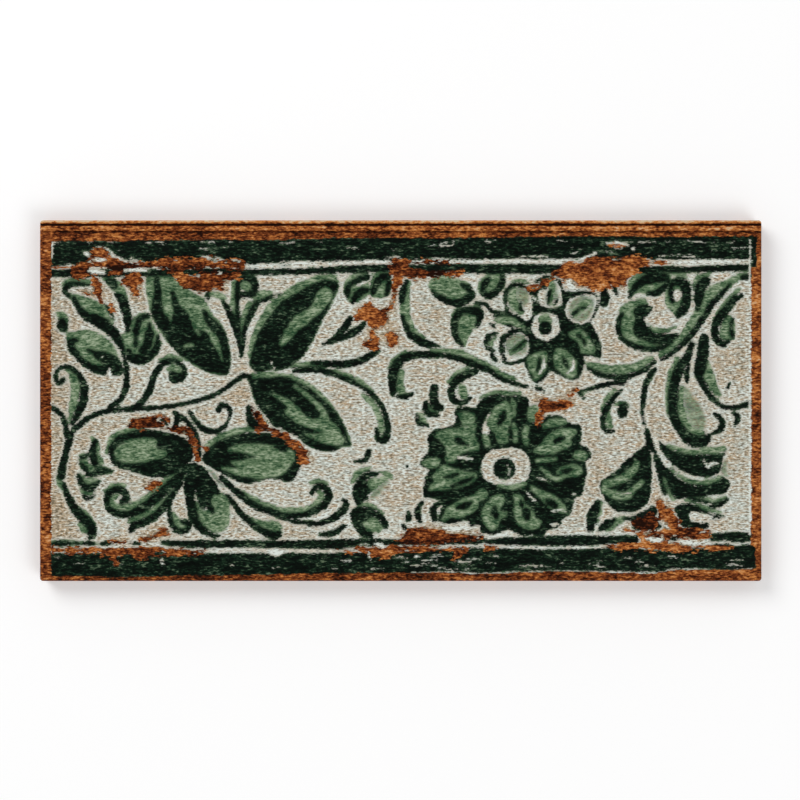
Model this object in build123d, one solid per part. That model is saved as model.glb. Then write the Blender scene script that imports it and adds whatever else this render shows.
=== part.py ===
"""Stair riser tile: one fired clay slab, with a glazed field on its front and keying grooves across its back.

Millimetres. +X runs along the tile's length, +Y to the edge that is uppermost on the stair and +Z out of the
glazed face. The origin is the middle of the back, in the plane of the ribs that the tile lies on.
"""

import os

from build123d import *

# The slab
length = 280.0
height = 140.0
thickness = 10.0
corner_radius = 1.2
arris_radius = 0.9

# The glazed field, which stands proud of the bare clay margin round it
glaze_rise = 0.5
glaze_edge_radius = 0.3
field_corner_radius = 1.0
margin_top = 6.8
margin_bottom = 3.0
margin_left = 4.2
margin_right = 3.0

# The two lines scored along the upper margin, with a bead of clay left between them
score_width = 0.7
score_depth = 0.4
upper_score_inset = 1.6
lower_score_inset = 4.4

# The keying grooves, pressed lengthwise into the back with drafted walls
groove_pitch = 15.0
groove_mouth = 9.0
groove_floor = 7.8
groove_depth = 1.2
groove_edge_land = 5.0

clay_thickness = thickness - glaze_rise
field_length = length - margin_left - margin_right
field_height = height - margin_bottom - margin_top
field_centre_x = (margin_left - margin_right) / 2
field_centre_y = (margin_bottom - margin_top) / 2
top_edge_y = height / 2


def lengthwise(profile_points):
    """A prism that runs the whole length of the tile, from the corners of its section as (y, z) pairs."""
    section = make_face(Plane.YZ * Polyline(*profile_points, close=True))
    return extrude(section, amount=length / 2, both=True)


def clay_slab():
    """The fired body, with its corners rounded and the arris eased all round its front."""
    slab = extrude(RectangleRounded(length, height, corner_radius), amount=clay_thickness)
    front_arris = slab.faces().sort_by(Axis.Z)[-1].edges()
    return fillet(front_arris, arris_radius)


def glazed_field():
    """The glaze, built up on the clay and rounded at its edge as it flowed in the kiln."""
    outline = Pos(field_centre_x, field_centre_y, clay_thickness) * RectangleRounded(
        field_length, field_height, field_corner_radius
    )
    field = extrude(outline, amount=glaze_rise)
    glaze_edge = field.faces().sort_by(Axis.Z)[-1].edges()
    return fillet(glaze_edge, glaze_edge_radius)


def score_line(inset):
    """A V cut along the upper margin, its middle at this distance from the tile's upper edge."""
    y = top_edge_y - inset
    return lengthwise(
        [
            (y - score_width / 2, clay_thickness),
            (y, clay_thickness - score_depth),
            (y + score_width / 2, clay_thickness),
        ]
    )


def keying_groove(y):
    """A drafted groove in the back, wider at its mouth than at its floor."""
    return lengthwise(
        [
            (y - groove_mouth / 2, 0),
            (y + groove_mouth / 2, 0),
            (y + groove_floor / 2, groove_depth),
            (y - groove_floor / 2, groove_depth),
        ]
    )


def groove_places():
    """The grooves' middles, in pairs either side of the rib at the middle of the back."""
    reach = height / 2 - groove_edge_land - groove_mouth / 2
    pairs = int((reach - groove_pitch / 2) // groove_pitch) + 1
    places = [(n + 0.5) * groove_pitch for n in range(pairs)]
    return sorted([-y for y in places] + places)


def riser_tile():
    tile = clay_slab() + glazed_field()
    for inset in (upper_score_inset, lower_score_inset):
        tile -= score_line(inset)
    for y in groove_places():
        tile -= keying_groove(y)
    return tile


os.makedirs("parts", exist_ok=True)
export_step(riser_tile(), "parts/riser_tile.step")
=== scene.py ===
"""Stair riser tile of fired clay: a worn tin glaze with painted borders and leaves, on a bare clay margin.

Lengths are millimetres in the tile's own frame. They become metres where a mesh, lamp or camera is made.
The ornament is drawn with brush strokes and filled patches. Each layer of paint is kept as distances to its
edge on the grid of the face, so that the same layers shape the relief and colour the glaze.
"""

import math

import bmesh
import bpy
import numpy as np
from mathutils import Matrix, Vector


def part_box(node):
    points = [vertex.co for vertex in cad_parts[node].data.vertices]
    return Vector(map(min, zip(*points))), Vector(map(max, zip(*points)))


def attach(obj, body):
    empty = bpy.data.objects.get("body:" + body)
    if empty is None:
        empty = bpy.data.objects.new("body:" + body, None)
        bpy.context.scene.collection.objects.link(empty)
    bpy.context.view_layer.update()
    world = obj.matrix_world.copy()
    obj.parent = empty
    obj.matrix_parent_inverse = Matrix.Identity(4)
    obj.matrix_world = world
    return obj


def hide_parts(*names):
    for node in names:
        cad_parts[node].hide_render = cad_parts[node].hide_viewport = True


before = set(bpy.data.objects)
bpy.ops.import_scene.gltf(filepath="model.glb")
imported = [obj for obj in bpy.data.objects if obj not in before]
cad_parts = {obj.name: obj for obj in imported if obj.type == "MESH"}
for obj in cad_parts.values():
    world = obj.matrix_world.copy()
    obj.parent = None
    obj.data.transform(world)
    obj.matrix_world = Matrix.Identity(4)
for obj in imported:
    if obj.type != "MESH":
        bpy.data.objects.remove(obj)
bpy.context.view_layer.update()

MM = 0.001
half_length, half_height, thickness = np.array(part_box("riser_tile")[1]) / MM

# The clay slab
corner_radius = 1.2
arris_radius = 0.9
glaze_rise = 0.5
clay_top = thickness - glaze_rise

# The lines scored along the upper margin
score_width = 0.7
score_depth = 0.4
upper_score = half_height - 1.6
lower_score = half_height - 4.4
score_places = (upper_score, lower_score)

# The keying grooves across the back
groove_count = 8
groove_pitch = 15.0
groove_mouth = 9.0
groove_floor = 7.8
groove_depth = 1.2
groove_middles = [(n - (groove_count - 1) / 2) * groove_pitch for n in range(groove_count)]

# The glazed field's edges
field_left = -135.5
field_right = 136.3
field_top = 63.2
field_bottom = -67.0

# The grids: their widest steps, and the lines that follow the edges of the slab and of the glaze
face_step = 0.7
back_step_along = 4.0
back_step_across = 8.0
arris_insets = (0, 0.12, 0.45, arris_radius, corner_radius)
back_insets = (0, 0.35, corner_radius)
glaze_edge_lines = (-0.3, 0, 0.35)
side_ring_drop = 0.8

# Noise on the face: the size of its lumps along and across the tile, and a seed
grain_size = (2.7, 1.3)
clay_mottle = ((9, 5), 21)
fine_pits = ((1.6, 1.2), 31)
pitted_areas = ((5, 4), 32)
glaze_grain = (grain_size, 33)
chip_grain = ((1.8, 1.4), 34)
dirt_patches = ((26, 17), 41)
dirt_spots = ((9, 6), 42)

# Relief on the face
ground_rise = 0.34
paint_rise = 0.07
grain_rise = 0.05
clay_roughness = 0.14
chip_roughness = 0.22
chip_lift = 0.4
edge_blur = 0.25
paint_blur = 0.4

# How light the clay is, where it is more than 0, or how dark
mottle_tone = 0.25
bead_tone = 0.18
inner_margin_tone = -0.04
outer_margin_tone = 0.7
outer_margin_overlap = 0.2
margin_blur = 0.6
lower_margin_tone = -0.1
lower_margin_edge = (66.6, 67.6)
right_end_tone = 0.08
right_end = (50, 80)
soaked_tone = -0.32
soaked_blur = 0.8
# Painted shade in the two scored lines: how dark, how wide, and how far it is moved towards their lower
# walls
score_shade_tones = (-0.75, -0.25)
score_shadow = (0.15, 0.55)
score_shadow_shift = 0.15
# Painted shade, with some dust, darkening the back towards the floors of its grooves
groove_shade_and_dust = -0.13

# How dirty the white ground is
patch_dirt = 0.5
left_end_dirt = 0.5
left_end = (112, 136)
chip_dirt = 0.4
round_chips = (-2.6, -0.2)

# How far outside its edge a layer of paint keeps its distance, and how finely its curves are drawn
reach = 3.0
steps_between_points = 6
tiny = 1e-9

# How the paint spread, and how ragged its edges are
ragged_edge = 0.55
light_spread = 0.25
dark_spread = 0.2
petal_growth = 0.45
gap_closed = 1.2

# The short white flecks along the bands, painted glints
band_glint_seed = 51
band_glints = 22
band_glint_rows = ((56.5, 62), (61.2, 61.8), (-65.5, -60))
band_glint_lengths = (1, 5)
band_glint_widths = (0.05, 0.3)


def filled_lines(fixed, step):
    """These lines, with evenly spaced ones between them wherever two are more than a step apart."""
    fixed = sorted(fixed)
    lines = [fixed[0]]
    for start, end in zip(fixed[:-1], fixed[1:]):
        parts = max(1, math.ceil((end - start) / step))
        lines += [start + (end - start) * (n + 1) / parts for n in range(parts)]
    return np.array(lines)


def end_lines(half, insets):
    """Lines at these distances inside both ends."""
    return [-half + inset for inset in insets] + [half - inset for inset in insets]


def face_lines(half, field_edges, scores=()):
    """Grid lines across the face: close together on the arris, the glaze's edge and the scored lines."""
    fixed = end_lines(half, arris_insets)
    for edge in field_edges:
        fixed += [edge + shift for shift in glaze_edge_lines]
    for middle in scores:
        fixed += [middle - score_width / 2, middle, middle + score_width / 2]
    return filled_lines(fixed, face_step)


x_lines = face_lines(half_length, (field_left, field_right))
y_lines = face_lines(half_height, (field_bottom, field_top), score_places)
grid_x, grid_y = np.meshgrid(x_lines, y_lines)


def eased(share):
    """A share from 0 to 1 that starts and stops gently."""
    return share * share * (3 - 2 * share)


def soft_step(value, low, high):
    """0 below low and 1 above high, with a smooth rise between."""
    return eased(np.clip((value - low) / (high - low), 0, 1))


def grain(size, seed):
    """Smooth noise from 0 to 1 on the face, with lumps of this size along and across the tile."""
    columns = (grid_x + half_length) / size[0]
    rows = (grid_y + half_height) / size[1]
    lattice = np.random.default_rng(seed).random((int(rows.max()) + 2, int(columns.max()) + 2))
    column = columns.astype(int)
    row = rows.astype(int)
    across = eased(columns - column)
    up = eased(rows - row)
    lower = lattice[row, column] * (1 - across) + lattice[row, column + 1] * across
    upper = lattice[row + 1, column] * (1 - across) + lattice[row + 1, column + 1] * across
    return lower * (1 - up) + upper * up


def curve_through(points, closed):
    """Points along a smooth curve through these points, and how far along it each is, from 0 to 1."""
    points = np.array(points, float)
    if closed:
        ring = np.vstack([points[-1:], points, points[:2]])
    else:
        ring = np.vstack([2 * points[0] - points[1], points, 2 * points[-1] - points[-2]])
    share = (np.arange(steps_between_points) / steps_between_points)[:, None]
    spans = []
    for before, start, end, after in zip(ring[:-3], ring[1:-2], ring[2:-1], ring[3:]):
        spans.append(
            start
            + 0.5 * share * (end - before)
            + share**2 * (before - 2.5 * start + 2 * end - 0.5 * after)
            + share**3 * (1.5 * (start - end) + 0.5 * (after - before))
        )
    path = np.vstack(spans)
    if not closed:
        path = np.vstack([path, points[-1:]])
    return path, np.linspace(0, 1, len(path))


def nearest_on(x, y, start, end):
    """How far along a line its nearest point lies, from 0 to 1, and how far away that is."""
    run = end - start
    along = (x - start[0]) * run[0] + (y - start[1]) * run[1]
    share = np.clip(along / max(run @ run, tiny), 0, 1)
    return share, np.hypot(x - start[0] - share * run[0], y - start[1] - share * run[1])


class Layer:
    """A layer of paint, as distances from its edge on the face's grid: positive in the paint."""

    def __init__(self):
        self.inside = np.full(grid_x.shape, -reach)

    def near(self, path, margin):
        """The part of the layer round a path, and that part's x and y."""
        low = path.min(0) - margin
        high = path.max(0) + margin
        columns = slice(*np.searchsorted(x_lines, (low[0], high[0])))
        rows = slice(*np.searchsorted(y_lines, (low[1], high[1])))
        return self.inside[rows, columns], grid_x[rows, columns], grid_y[rows, columns]

    def stroke(self, widths, *points):
        """A brush stroke through these points, with the widths spread evenly along it."""
        path, along = curve_through(points, closed=False)
        widths = np.atleast_1d(widths)
        radii = np.interp(along, np.linspace(0, 1, len(widths)), widths) / 2
        inside, x, y = self.near(path, radii.max() + reach)
        for start, end, first, last in zip(path[:-1], path[1:], radii[:-1], radii[1:]):
            share, distance = nearest_on(x, y, start, end)
            np.maximum(inside, first + (last - first) * share - distance, out=inside)

    def patch(self, *points):
        """A patch filled inside the smooth outline through these points."""
        path = curve_through(points, closed=True)[0]
        inside, x, y = self.near(path, reach)
        nearest = np.full(x.shape, np.inf)
        within = np.zeros(x.shape, bool)
        for start, end in zip(path, np.roll(path, -1, axis=0)):
            nearest = np.minimum(nearest, nearest_on(x, y, start, end)[1])
            if start[1] != end[1]:
                crossing = start[0] + (y - start[1]) * (end[0] - start[0]) / (end[1] - start[1])
                within ^= ((start[1] > y) != (end[1] > y)) & (x < crossing)
        np.maximum(inside, np.where(within, nearest, -nearest), out=inside)

    def strip(self, *stations):
        """A strip along the tile, from its lower to its upper edge at each (x, lower, upper)."""
        x, lower, upper = np.array(stations, float).T
        across = np.minimum(grid_y - np.interp(grid_x, x, lower), np.interp(grid_x, x, upper) - grid_y)
        along = np.minimum(grid_x - x[0], x[-1] - grid_x)
        np.maximum(self.inside, np.minimum(across, along), out=self.inside)

    def dots(self, width, *points):
        """Round spots of this width."""
        for point in points:
            self.stroke(width, point, point)

    def cut(self, *others):
        """Takes other layers out of this one."""
        for other in others:
            np.minimum(self.inside, -other.inside, out=self.inside)

    def join(self, other):
        """Adds another layer to this one."""
        np.maximum(self.inside, other.inside, out=self.inside)

    def blend(self, other):
        """Joins another layer to this one, and closes narrow gaps between them."""
        closeness = np.clip(1 - np.abs(self.inside - other.inside) / gap_closed, 0, 1)
        self.join(other)
        self.inside += closeness**2 * gap_closed / 4

    def grow(self, amount):
        """Moves the layer's edge outward."""
        self.inside += amount

    def roughen(self, amount, seed):
        """Makes the layer's edge ragged, with the grain of the glaze."""
        self.inside += amount * (grain(grain_size, seed) - 0.5)

    def cover(self, blur):
        """How much of the layer there is at each point of the face, from 0 to 1, with a blurred edge."""
        return soft_step(self.inside, -blur, blur)


# The paint's layers
sage = Layer()      # light green bodies and soft edges
wash = Layer()      # thin light green
dark = Layer()      # dark green
white = Layer()     # bare ground left in the dark green
light = Layer()     # light green over dark green
ink = Layer()       # dark green over light green
fleck = Layer()     # white flecks over everything

# The glaze, and where it is lost
glaze = Layer()     # where the tile is glazed
chip = Layer()      # glaze lost, down to the clay
kept = Layer()      # bits of glaze left standing in a chip
soaked = Layer()    # clay in a chip that has gone dark


def kept_dark(widths, *points):
    """Dark paint left standing in a chip."""
    kept.stroke(widths, *points)
    ink.stroke(widths, *points)


def kept_white(widths, *points):
    """White glaze left standing in a chip."""
    kept.stroke(widths, *points)
    fleck.stroke(widths, *points)


def paint_field():
    """The glaze, and where the two bands run over the right margin."""
    glaze.strip(
        (-135.5, -68, 61.9), (-110, -68.3, 61.9), (-98, -68.2, 62.2), (-84, -67.8, 62.4),
        (-66, -67.8, 62.4), (-50, -67.4, 62.3), (-30, -67, 62.9), (-8, -66.9, 63.1), (16, -66.6, 63.1),
        (28, -67.1, 63.2), (40, -66.9, 63.3), (52, -66.4, 63.5), (64, -66.2, 63.8), (82, -66.6, 63.8),
        (99, -67, 63.6), (105, -65.7, 63.6), (135.9, -65.4, 63.7),
    )
    glaze.strip((135, 51.6, 64), (138, 51.8, 64))
    glaze.strip((135, -65.4, -56), (137.6, -65, -56.4))


def paint_borders():
    """The dark bands, the thin dark lines inside them and the white lines between."""
    dark.strip(
        (-150, 52, 66), (-135, 52, 66), (-123, 52.6, 66), (-119, 55.8, 66), (-114, 56.8, 66),
        (-109, 55.4, 66), (-103, 53.8, 66), (-99, 53.4, 66), (-95, 54.2, 66), (-85, 54.4, 66),
        (-76, 54.4, 66), (-66, 53.6, 66), (-58, 52.9, 66), (-50, 53, 66), (-46, 54, 66),
        (-38, 54.3, 66), (-18, 54, 66), (-6, 54.5, 66), (15, 55, 66), (28, 54.6, 66), (40, 54.9, 66),
        (150, 54.8, 66),
    )
    dark.strip(
        (-136, 47.9, 50.8), (-122, 48, 50.8), (-100, 48.3, 51), (-80, 48.6, 51.1), (-62, 48.7, 51.1),
        (-44, 48.8, 51), (-32, 49.3, 51.6), (-20, 49.6, 52.5), (-8, 50, 52.7), (16, 49.6, 52.9),
        (40, 49.2, 52.9), (54, 49.2, 52.9), (64, 49.4, 52.4), (100, 49.8, 52.1), (112, 49.8, 51.8),
        (124, 50.3, 52.6), (137, 50.3, 52.9),
    )
    dark.strip(
        (-150, -70, -59), (-110, -70, -59.2), (-78, -70, -59.4), (-23, -70, -59.2), (0, -70, -58.4),
        (12, -70, -57.5), (30, -70, -57.2), (42, -70, -57.4), (77, -70, -57.4), (84, -70, -56.6),
        (100, -70, -58), (116, -70, -57.2), (124, -70, -55.5), (150, -70, -55.3),
    )
    dark.strip(
        (-93, -55.8, -54.4), (-81, -57, -54.2), (-60, -56.8, -54.2), (-40, -57.2, -54.3),
        (-24, -57.6, -53.9), (-8, -56, -53.5), (0, -56, -54), (30, -55.6, -53.6), (42, -55.9, -53),
        (58, -56.2, -52.4), (70, -56.3, -52.3), (78, -55.7, -52.5), (92, -55.4, -52.2),
    )
    dark.strip((118, -54.4, -52), (124, -54.2, -51.4), (130, -54.8, -50.9), (137.6, -54.4, -51.2))
    for x, along, width in (
        (-135, 7, 2.6), (-127.2, 2.4, 1), (-122.8, 4, 1.8), (-116, 4.4, 1.6), (-105.4, 4.8, 1),
    ):
        dark.stroke(
            (width / 3, width, width / 3),
            (x, -55.4), (x + along / 2, -55.2), (x + along, -55.5),
        )
    sage.stroke((1.4, 1.6, 0.4, 0.6), (-135, -55.2), (-128, -55.2), (-121, -55.3), (-113, -55.2))
    dark.strip((135.7, 50, 56), (138.6, 50, 56))
    dark.stroke((1.4, 0.9, 0.4), (-53, 54.2), (-48, 53.6), (-43, 52.8))
    fleck.stroke(
        (0.8, 1.4, 1.3, 1.1),
        (-60, 52.2), (-44, 53), (-20, 53.4), (-8, 53.8), (28, 54), (45, 54.2), (62, 54),
    )
    fleck.stroke((0.8, 1, 1.2, 0.8), (62, 54.4), (69, 54.9), (72.6, 55.9), (75.4, 57.2))
    fleck.stroke((0.9, 1.4, 1.1), (95, 54.2), (108, 53.6), (122, 54), (136, 54))
    fleck.stroke((0.3, 0.6, 0.9, 0.8), (135.4, 62), (135.4, 55), (135.4, 10), (135.3, -52))
    fleck.stroke((0.4, 0.9, 0.3), (-135.2, 61.4), (-135.1, 59), (-135.2, 55))
    fleck.stroke((1.2, 3.2, 1.2), (-51.4, -58.4), (-48, -58.8), (-45, -58.2))
    fleck.stroke((0.8, 1.1, 0.9), (42, -56.9), (60, -57.1), (78, -56.7))
    fleck.stroke(
        (0.5, 0.8, 0.8, 0.6),
        (119, -55.4), (124, -55), (126, -54.6), (128.4, -55.4), (132, -55.6), (136, -55),
    )
    fleck.stroke(
        (0.3, 0.6, 0.7, 0.8, 0.7),
        (4, -66.9), (18, -66.6), (28, -67.1), (40, -66.9), (52, -66.4), (64, -66.2), (82, -66.6),
        (99, -67), (105, -65.7), (116, -65.5), (126, -66.1), (136, -65.4),
    )
    for x, y, along in (
        (46, 55.8, 11), (100, 56.1, 15), (-1.5, -60.9, 4), (5.4, -60.6, 3), (8.5, -62, 6),
        (0.4, -62.7, 3), (4, -63.8, 10), (16, -65.8, 4), (21, -62.6, 4), (35, -60.5, 3), (26, -61.6, 5),
        (12, -60.2, 5), (46, -64.2, 12), (86, -61.2, 4), (91, -62.4, 3), (93, -64.2, 5),
        (104, -60.6, 3), (125, -63.7, 8),
    ):
        fleck.stroke((0.1, 0.5, 0.1), (x, y), (x + along / 2, y + 0.2), (x + along, y - 0.1))
    fleck.dots(1.1, (-41, 51.8), (90, 58.8), (-92.4, -61.4), (-92.3, -63.2), (6, -60.4))


def paint_band_glints():
    """Short thin white flecks all along the two bands as painted glints, with a row of them near the upper
    edge.
    """
    places = np.random.default_rng(band_glint_seed)
    end_width = band_glint_widths[0]
    for low, high in band_glint_rows:
        for _ in range(band_glints):
            x = places.uniform(field_left, field_right)
            y = places.uniform(low, high)
            along = places.uniform(*band_glint_lengths)
            width = places.uniform(*band_glint_widths)
            fleck.stroke((end_width, width, end_width), (x, y), (x + along / 2, y), (x + along, y))


def paint_upper_left_sprigs():
    """The slender leaf, the bud and the broad leaf at the upper left, on their stem."""
    sage.stroke((2, 3.2, 2), (-132.4, 33.6), (-131, 32.6), (-129.8, 31.4))
    dark.stroke((2.8, 3.8, 3.2), (-131.4, 30.6), (-131.2, 29), (-130.6, 28.2))
    sage.patch(
        (-128.5, 41), (-124, 40.6), (-119, 38.8), (-115.5, 37), (-112.5, 32.5), (-111, 29.5),
        (-114, 31), (-119, 32.6), (-123.5, 34.8), (-126.4, 38),
    )
    sage.stroke((1.5, 2.4, 1.6), (-130.4, 45.5), (-126, 46.6), (-121, 46))
    dark.stroke(
        (0.9, 1.5, 2.2, 2.2, 1.4),
        (-121, 44.9), (-125, 45.3), (-129.2, 44.4), (-130, 42.2), (-128.6, 40.6),
    )
    dark.stroke(
        (1.2, 2.4, 3.2, 3.6, 3.8, 2.6, 1.2),
        (-126.8, 39.6), (-124.6, 35.6), (-121.5, 32.5), (-116, 29.6), (-111.6, 26.5), (-109, 22.5),
        (-107.5, 18.8),
    )
    dark.stroke((0.6, 1.6, 1.2), (-122, 33.4), (-117.5, 32.2), (-113.5, 30.4))
    dark.stroke((0.5, 0.9, 0.5), (-114.6, 37.6), (-112.8, 35), (-111.3, 32))
    sage.stroke((2.5, 4, 3, 2), (-114, 47.3), (-110.5, 44.8), (-107.8, 41), (-106.5, 36))
    dark.stroke((2, 3, 2), (-113.4, 46.6), (-111.8, 45.4), (-111, 44.6))
    dark.stroke(
        (1.6, 3.4, 3.6, 3, 1.4),
        (-110, 41), (-107.8, 38.5), (-106.6, 35), (-105.8, 31), (-106, 27.3),
    )
    sage.patch(
        (-129.4, 25.4), (-126, 26.8), (-121.5, 27.4), (-116.5, 25.6), (-112.5, 22.4), (-110.4, 19),
        (-109, 15), (-108.2, 11), (-112, 10.4), (-117, 10.6), (-120.5, 12.4), (-124, 15.2), (-127, 18),
        (-128.8, 21),
    )
    dark.stroke((0.8, 2.2, 2.8, 2), (-125, 23.4), (-127.6, 23), (-127.4, 20.2), (-125.6, 17.6))
    dark.stroke(
        (1.6, 2, 2.6, 3.6, 4.4),
        (-126.6, 18.2), (-123.4, 15.2), (-119.5, 12.6), (-114.5, 11.8), (-109.8, 12),
    )
    dark.stroke(
        (0.6, 1.6, 4.4, 5.2, 4),
        (-121.3, 19.8), (-118.5, 18.4), (-115, 16.8), (-112, 14.8), (-109.6, 12.6),
    )
    fleck.dots(0.9, (-115.6, 16.8))
    fleck.stroke((0.8, 1.6), (-113, 12), (-112.8, 10))
    dark.stroke(
        (1.2, 1.8, 2.2, 2.4, 2.2, 2),
        (-107.8, 19.5), (-106.6, 14), (-106.1, 9.5), (-106.7, 4.5), (-108.9, 0.4), (-112.7, -2.6),
    )


def paint_double_leaf():
    sage.patch(
        (-98.2, 33.4), (-101.5, 33.6), (-104.2, 31), (-105.6, 27), (-108.2, 25.4), (-108, 21),
        (-105.6, 16.6), (-101.5, 14.4), (-97.5, 15.2), (-94.6, 18.5), (-93.2, 22), (-94.2, 26),
        (-96.5, 30),
    )
    dark.stroke((1.4, 2.2, 2, 1), (-97.8, 32.8), (-100.8, 31.6), (-102.5, 27.4), (-102.8, 21.5))
    dark.stroke((1, 2.8, 3.2, 3.4), (-97.6, 29.6), (-97.4, 26), (-98, 22), (-99.5, 19))
    dark.stroke(
        (1.4, 2.4, 3, 3.4, 3, 1.4),
        (-94, 24.6), (-94.6, 20.8), (-97.6, 17.2), (-101.5, 16), (-104.5, 16.8), (-105.6, 19.2),
    )


def paint_left_leaf():
    """The upper left leaf of the large spray."""
    sage.patch(
        (-98, 48.6), (-92, 48.5), (-87, 46.8), (-82, 42.8), (-76.5, 39.2), (-73.5, 34), (-70, 30),
        (-67.6, 25), (-66.4, 19), (-66.6, 12), (-69.5, 9.8), (-74, 11), (-80, 13.8), (-85, 17.4),
        (-89.6, 22), (-93.4, 27.5), (-96, 33), (-97.6, 38), (-98.6, 43),
    )
    dark.stroke(
        (1.4, 2, 3.6, 4.4, 5),
        (-94.6, 46.8), (-94.2, 42.5), (-94.4, 38), (-94.2, 34), (-92, 30),
    )
    dark.stroke((0.8, 2, 2.6, 4), (-88.6, 42), (-87.6, 39), (-86.8, 36), (-85, 33))
    dark.patch(
        (-95.2, 33.5), (-92.4, 31.5), (-90, 29.6), (-88.2, 32.5), (-87.4, 35.5), (-85, 35.4),
        (-82.8, 33.8), (-81.4, 30.4), (-79, 27.8), (-75.8, 26.4), (-73.4, 22.8), (-71.6, 19.4),
        (-69.4, 15.6), (-67, 13), (-67.2, 10.4), (-69.8, 10.2), (-74, 11.4), (-80, 14.2), (-85, 17.8),
        (-89.4, 22.2), (-93, 28),
    )
    dark.stroke(
        (1.2, 2.4, 3.4, 3, 2.6, 2.6, 3),
        (-76, 34.6), (-74.6, 31.5), (-71.8, 28.5), (-69.4, 25), (-68, 20), (-67.6, 15), (-68, 12),
    )
    light.stroke((0.4, 0.9, 0.4), (-80.6, 29.6), (-79.2, 27.2), (-78, 25.8))
    light.stroke((0.4, 0.7, 0.4), (-83.6, 21), (-82.2, 21.4), (-81, 21.4))


def paint_middle_stems():
    """The three stems that rise from the spray, with the hook at the top of the middle one."""
    dark.stroke((0.8, 1.6, 0.8), (-74.6, 42.2), (-75, 40.8), (-74.6, 39.6))
    sage.stroke((1.6, 2.2, 1.4), (-73.8, 41.6), (-71, 41), (-68.6, 40))
    dark.stroke((0.8, 2, 2.2, 1.6, 1.2), (-69, 38.6), (-67.4, 36), (-65.8, 32), (-64, 27), (-62.6, 21))
    dark.stroke(
        (1.6, 1.8, 1.6, 1.4, 1.6, 1),
        (-62.6, 47), (-63.2, 43), (-63.2, 36), (-63, 30), (-62.6, 24), (-61.8, 17),
    )
    sage.stroke((1.4, 2.2, 2, 1.4), (-64.6, 46), (-64.5, 40), (-64.3, 34), (-63.2, 27))
    dark.stroke(
        (1.6, 2.4, 3, 3, 2.2),
        (-63.2, 44), (-62, 46.8), (-59.4, 47.2), (-57, 46.2), (-56.6, 43.6), (-58.4, 41.4), (-61.4, 41),
    )
    light.stroke(2.6, (-60.6, 44.6), (-59.4, 44))
    sage.stroke((1.2, 1.6, 1.2), (-62.6, 48.2), (-60, 49), (-57, 48))
    sage.patch((-57.8, 41), (-54, 42.4), (-50, 41.8), (-52, 39.6), (-55.5, 38.4))
    dark.stroke((0.6, 1.2, 1.4, 0.8), (-46.8, 41.2), (-50, 40.6), (-53, 38.8), (-57, 38.2))
    dark.stroke(
        (1, 2.6, 2.2, 1.6, 1.4, 1),
        (-55, 38.2), (-57, 35.6), (-58.8, 32), (-60.4, 27.6), (-61, 23), (-61.8, 17),
    )
    sage.stroke((1.2, 2.2, 1.8, 1), (-58.6, 38), (-60, 34.4), (-61.4, 29), (-62, 23))


def paint_right_leaf():
    """The upper right leaf of the large spray, and the twigs beside it."""
    sage.patch(
        (-25.5, 48.2), (-23.9, 45), (-25.2, 41), (-27.6, 36.6), (-30, 32), (-32.4, 27), (-35, 22),
        (-38, 17.6), (-42, 14), (-46.5, 12), (-51, 12.2), (-54.5, 11), (-57.6, 12.4), (-58.6, 16),
        (-58.8, 20), (-57.6, 25), (-56, 29.5), (-53.4, 34), (-50, 38.4), (-45, 42.2), (-40, 45.4),
        (-34, 47.8), (-29, 48.7),
    )
    dark.patch(
        (-24.3, 45), (-26, 46.4), (-30, 46.4), (-34, 44.8), (-38, 43), (-42, 40.6), (-46, 37.8),
        (-49, 34.6), (-51.4, 31.6), (-53.6, 28.2), (-55.4, 24.4), (-57, 20), (-58, 16), (-57.6, 12.8),
        (-54.6, 11.3), (-51, 12), (-46.5, 12.2), (-42, 14.2), (-38.2, 17.8), (-35.2, 22.2),
        (-32.6, 27.2), (-30.4, 31.6), (-28, 36.4), (-25.6, 41),
    )
    light.patch(
        (-46.8, 22), (-45.6, 25), (-43.6, 28.4), (-41, 32), (-38.6, 33.8), (-35.4, 35.4), (-33.6, 38),
        (-32.4, 41), (-30, 43.6), (-27.6, 42.8), (-26.8, 40.4), (-28.6, 37.6), (-30.8, 35),
        (-33.8, 32.4), (-36.6, 29.6), (-40.2, 27.4), (-43.2, 24), (-45.4, 21.8),
    )
    fleck.dots(0.7, (-50, 14.6), (-49, 12.6))
    dark.stroke((0.8, 2.2, 3, 2.2), (-30.2, 22), (-27, 23), (-23.6, 26), (-21, 29.4), (-19.6, 31.6))
    dark.stroke((1.4, 2.4, 2.8, 1.6), (-27, 22.6), (-21.5, 25), (-17, 27.2), (-14, 30))


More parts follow.
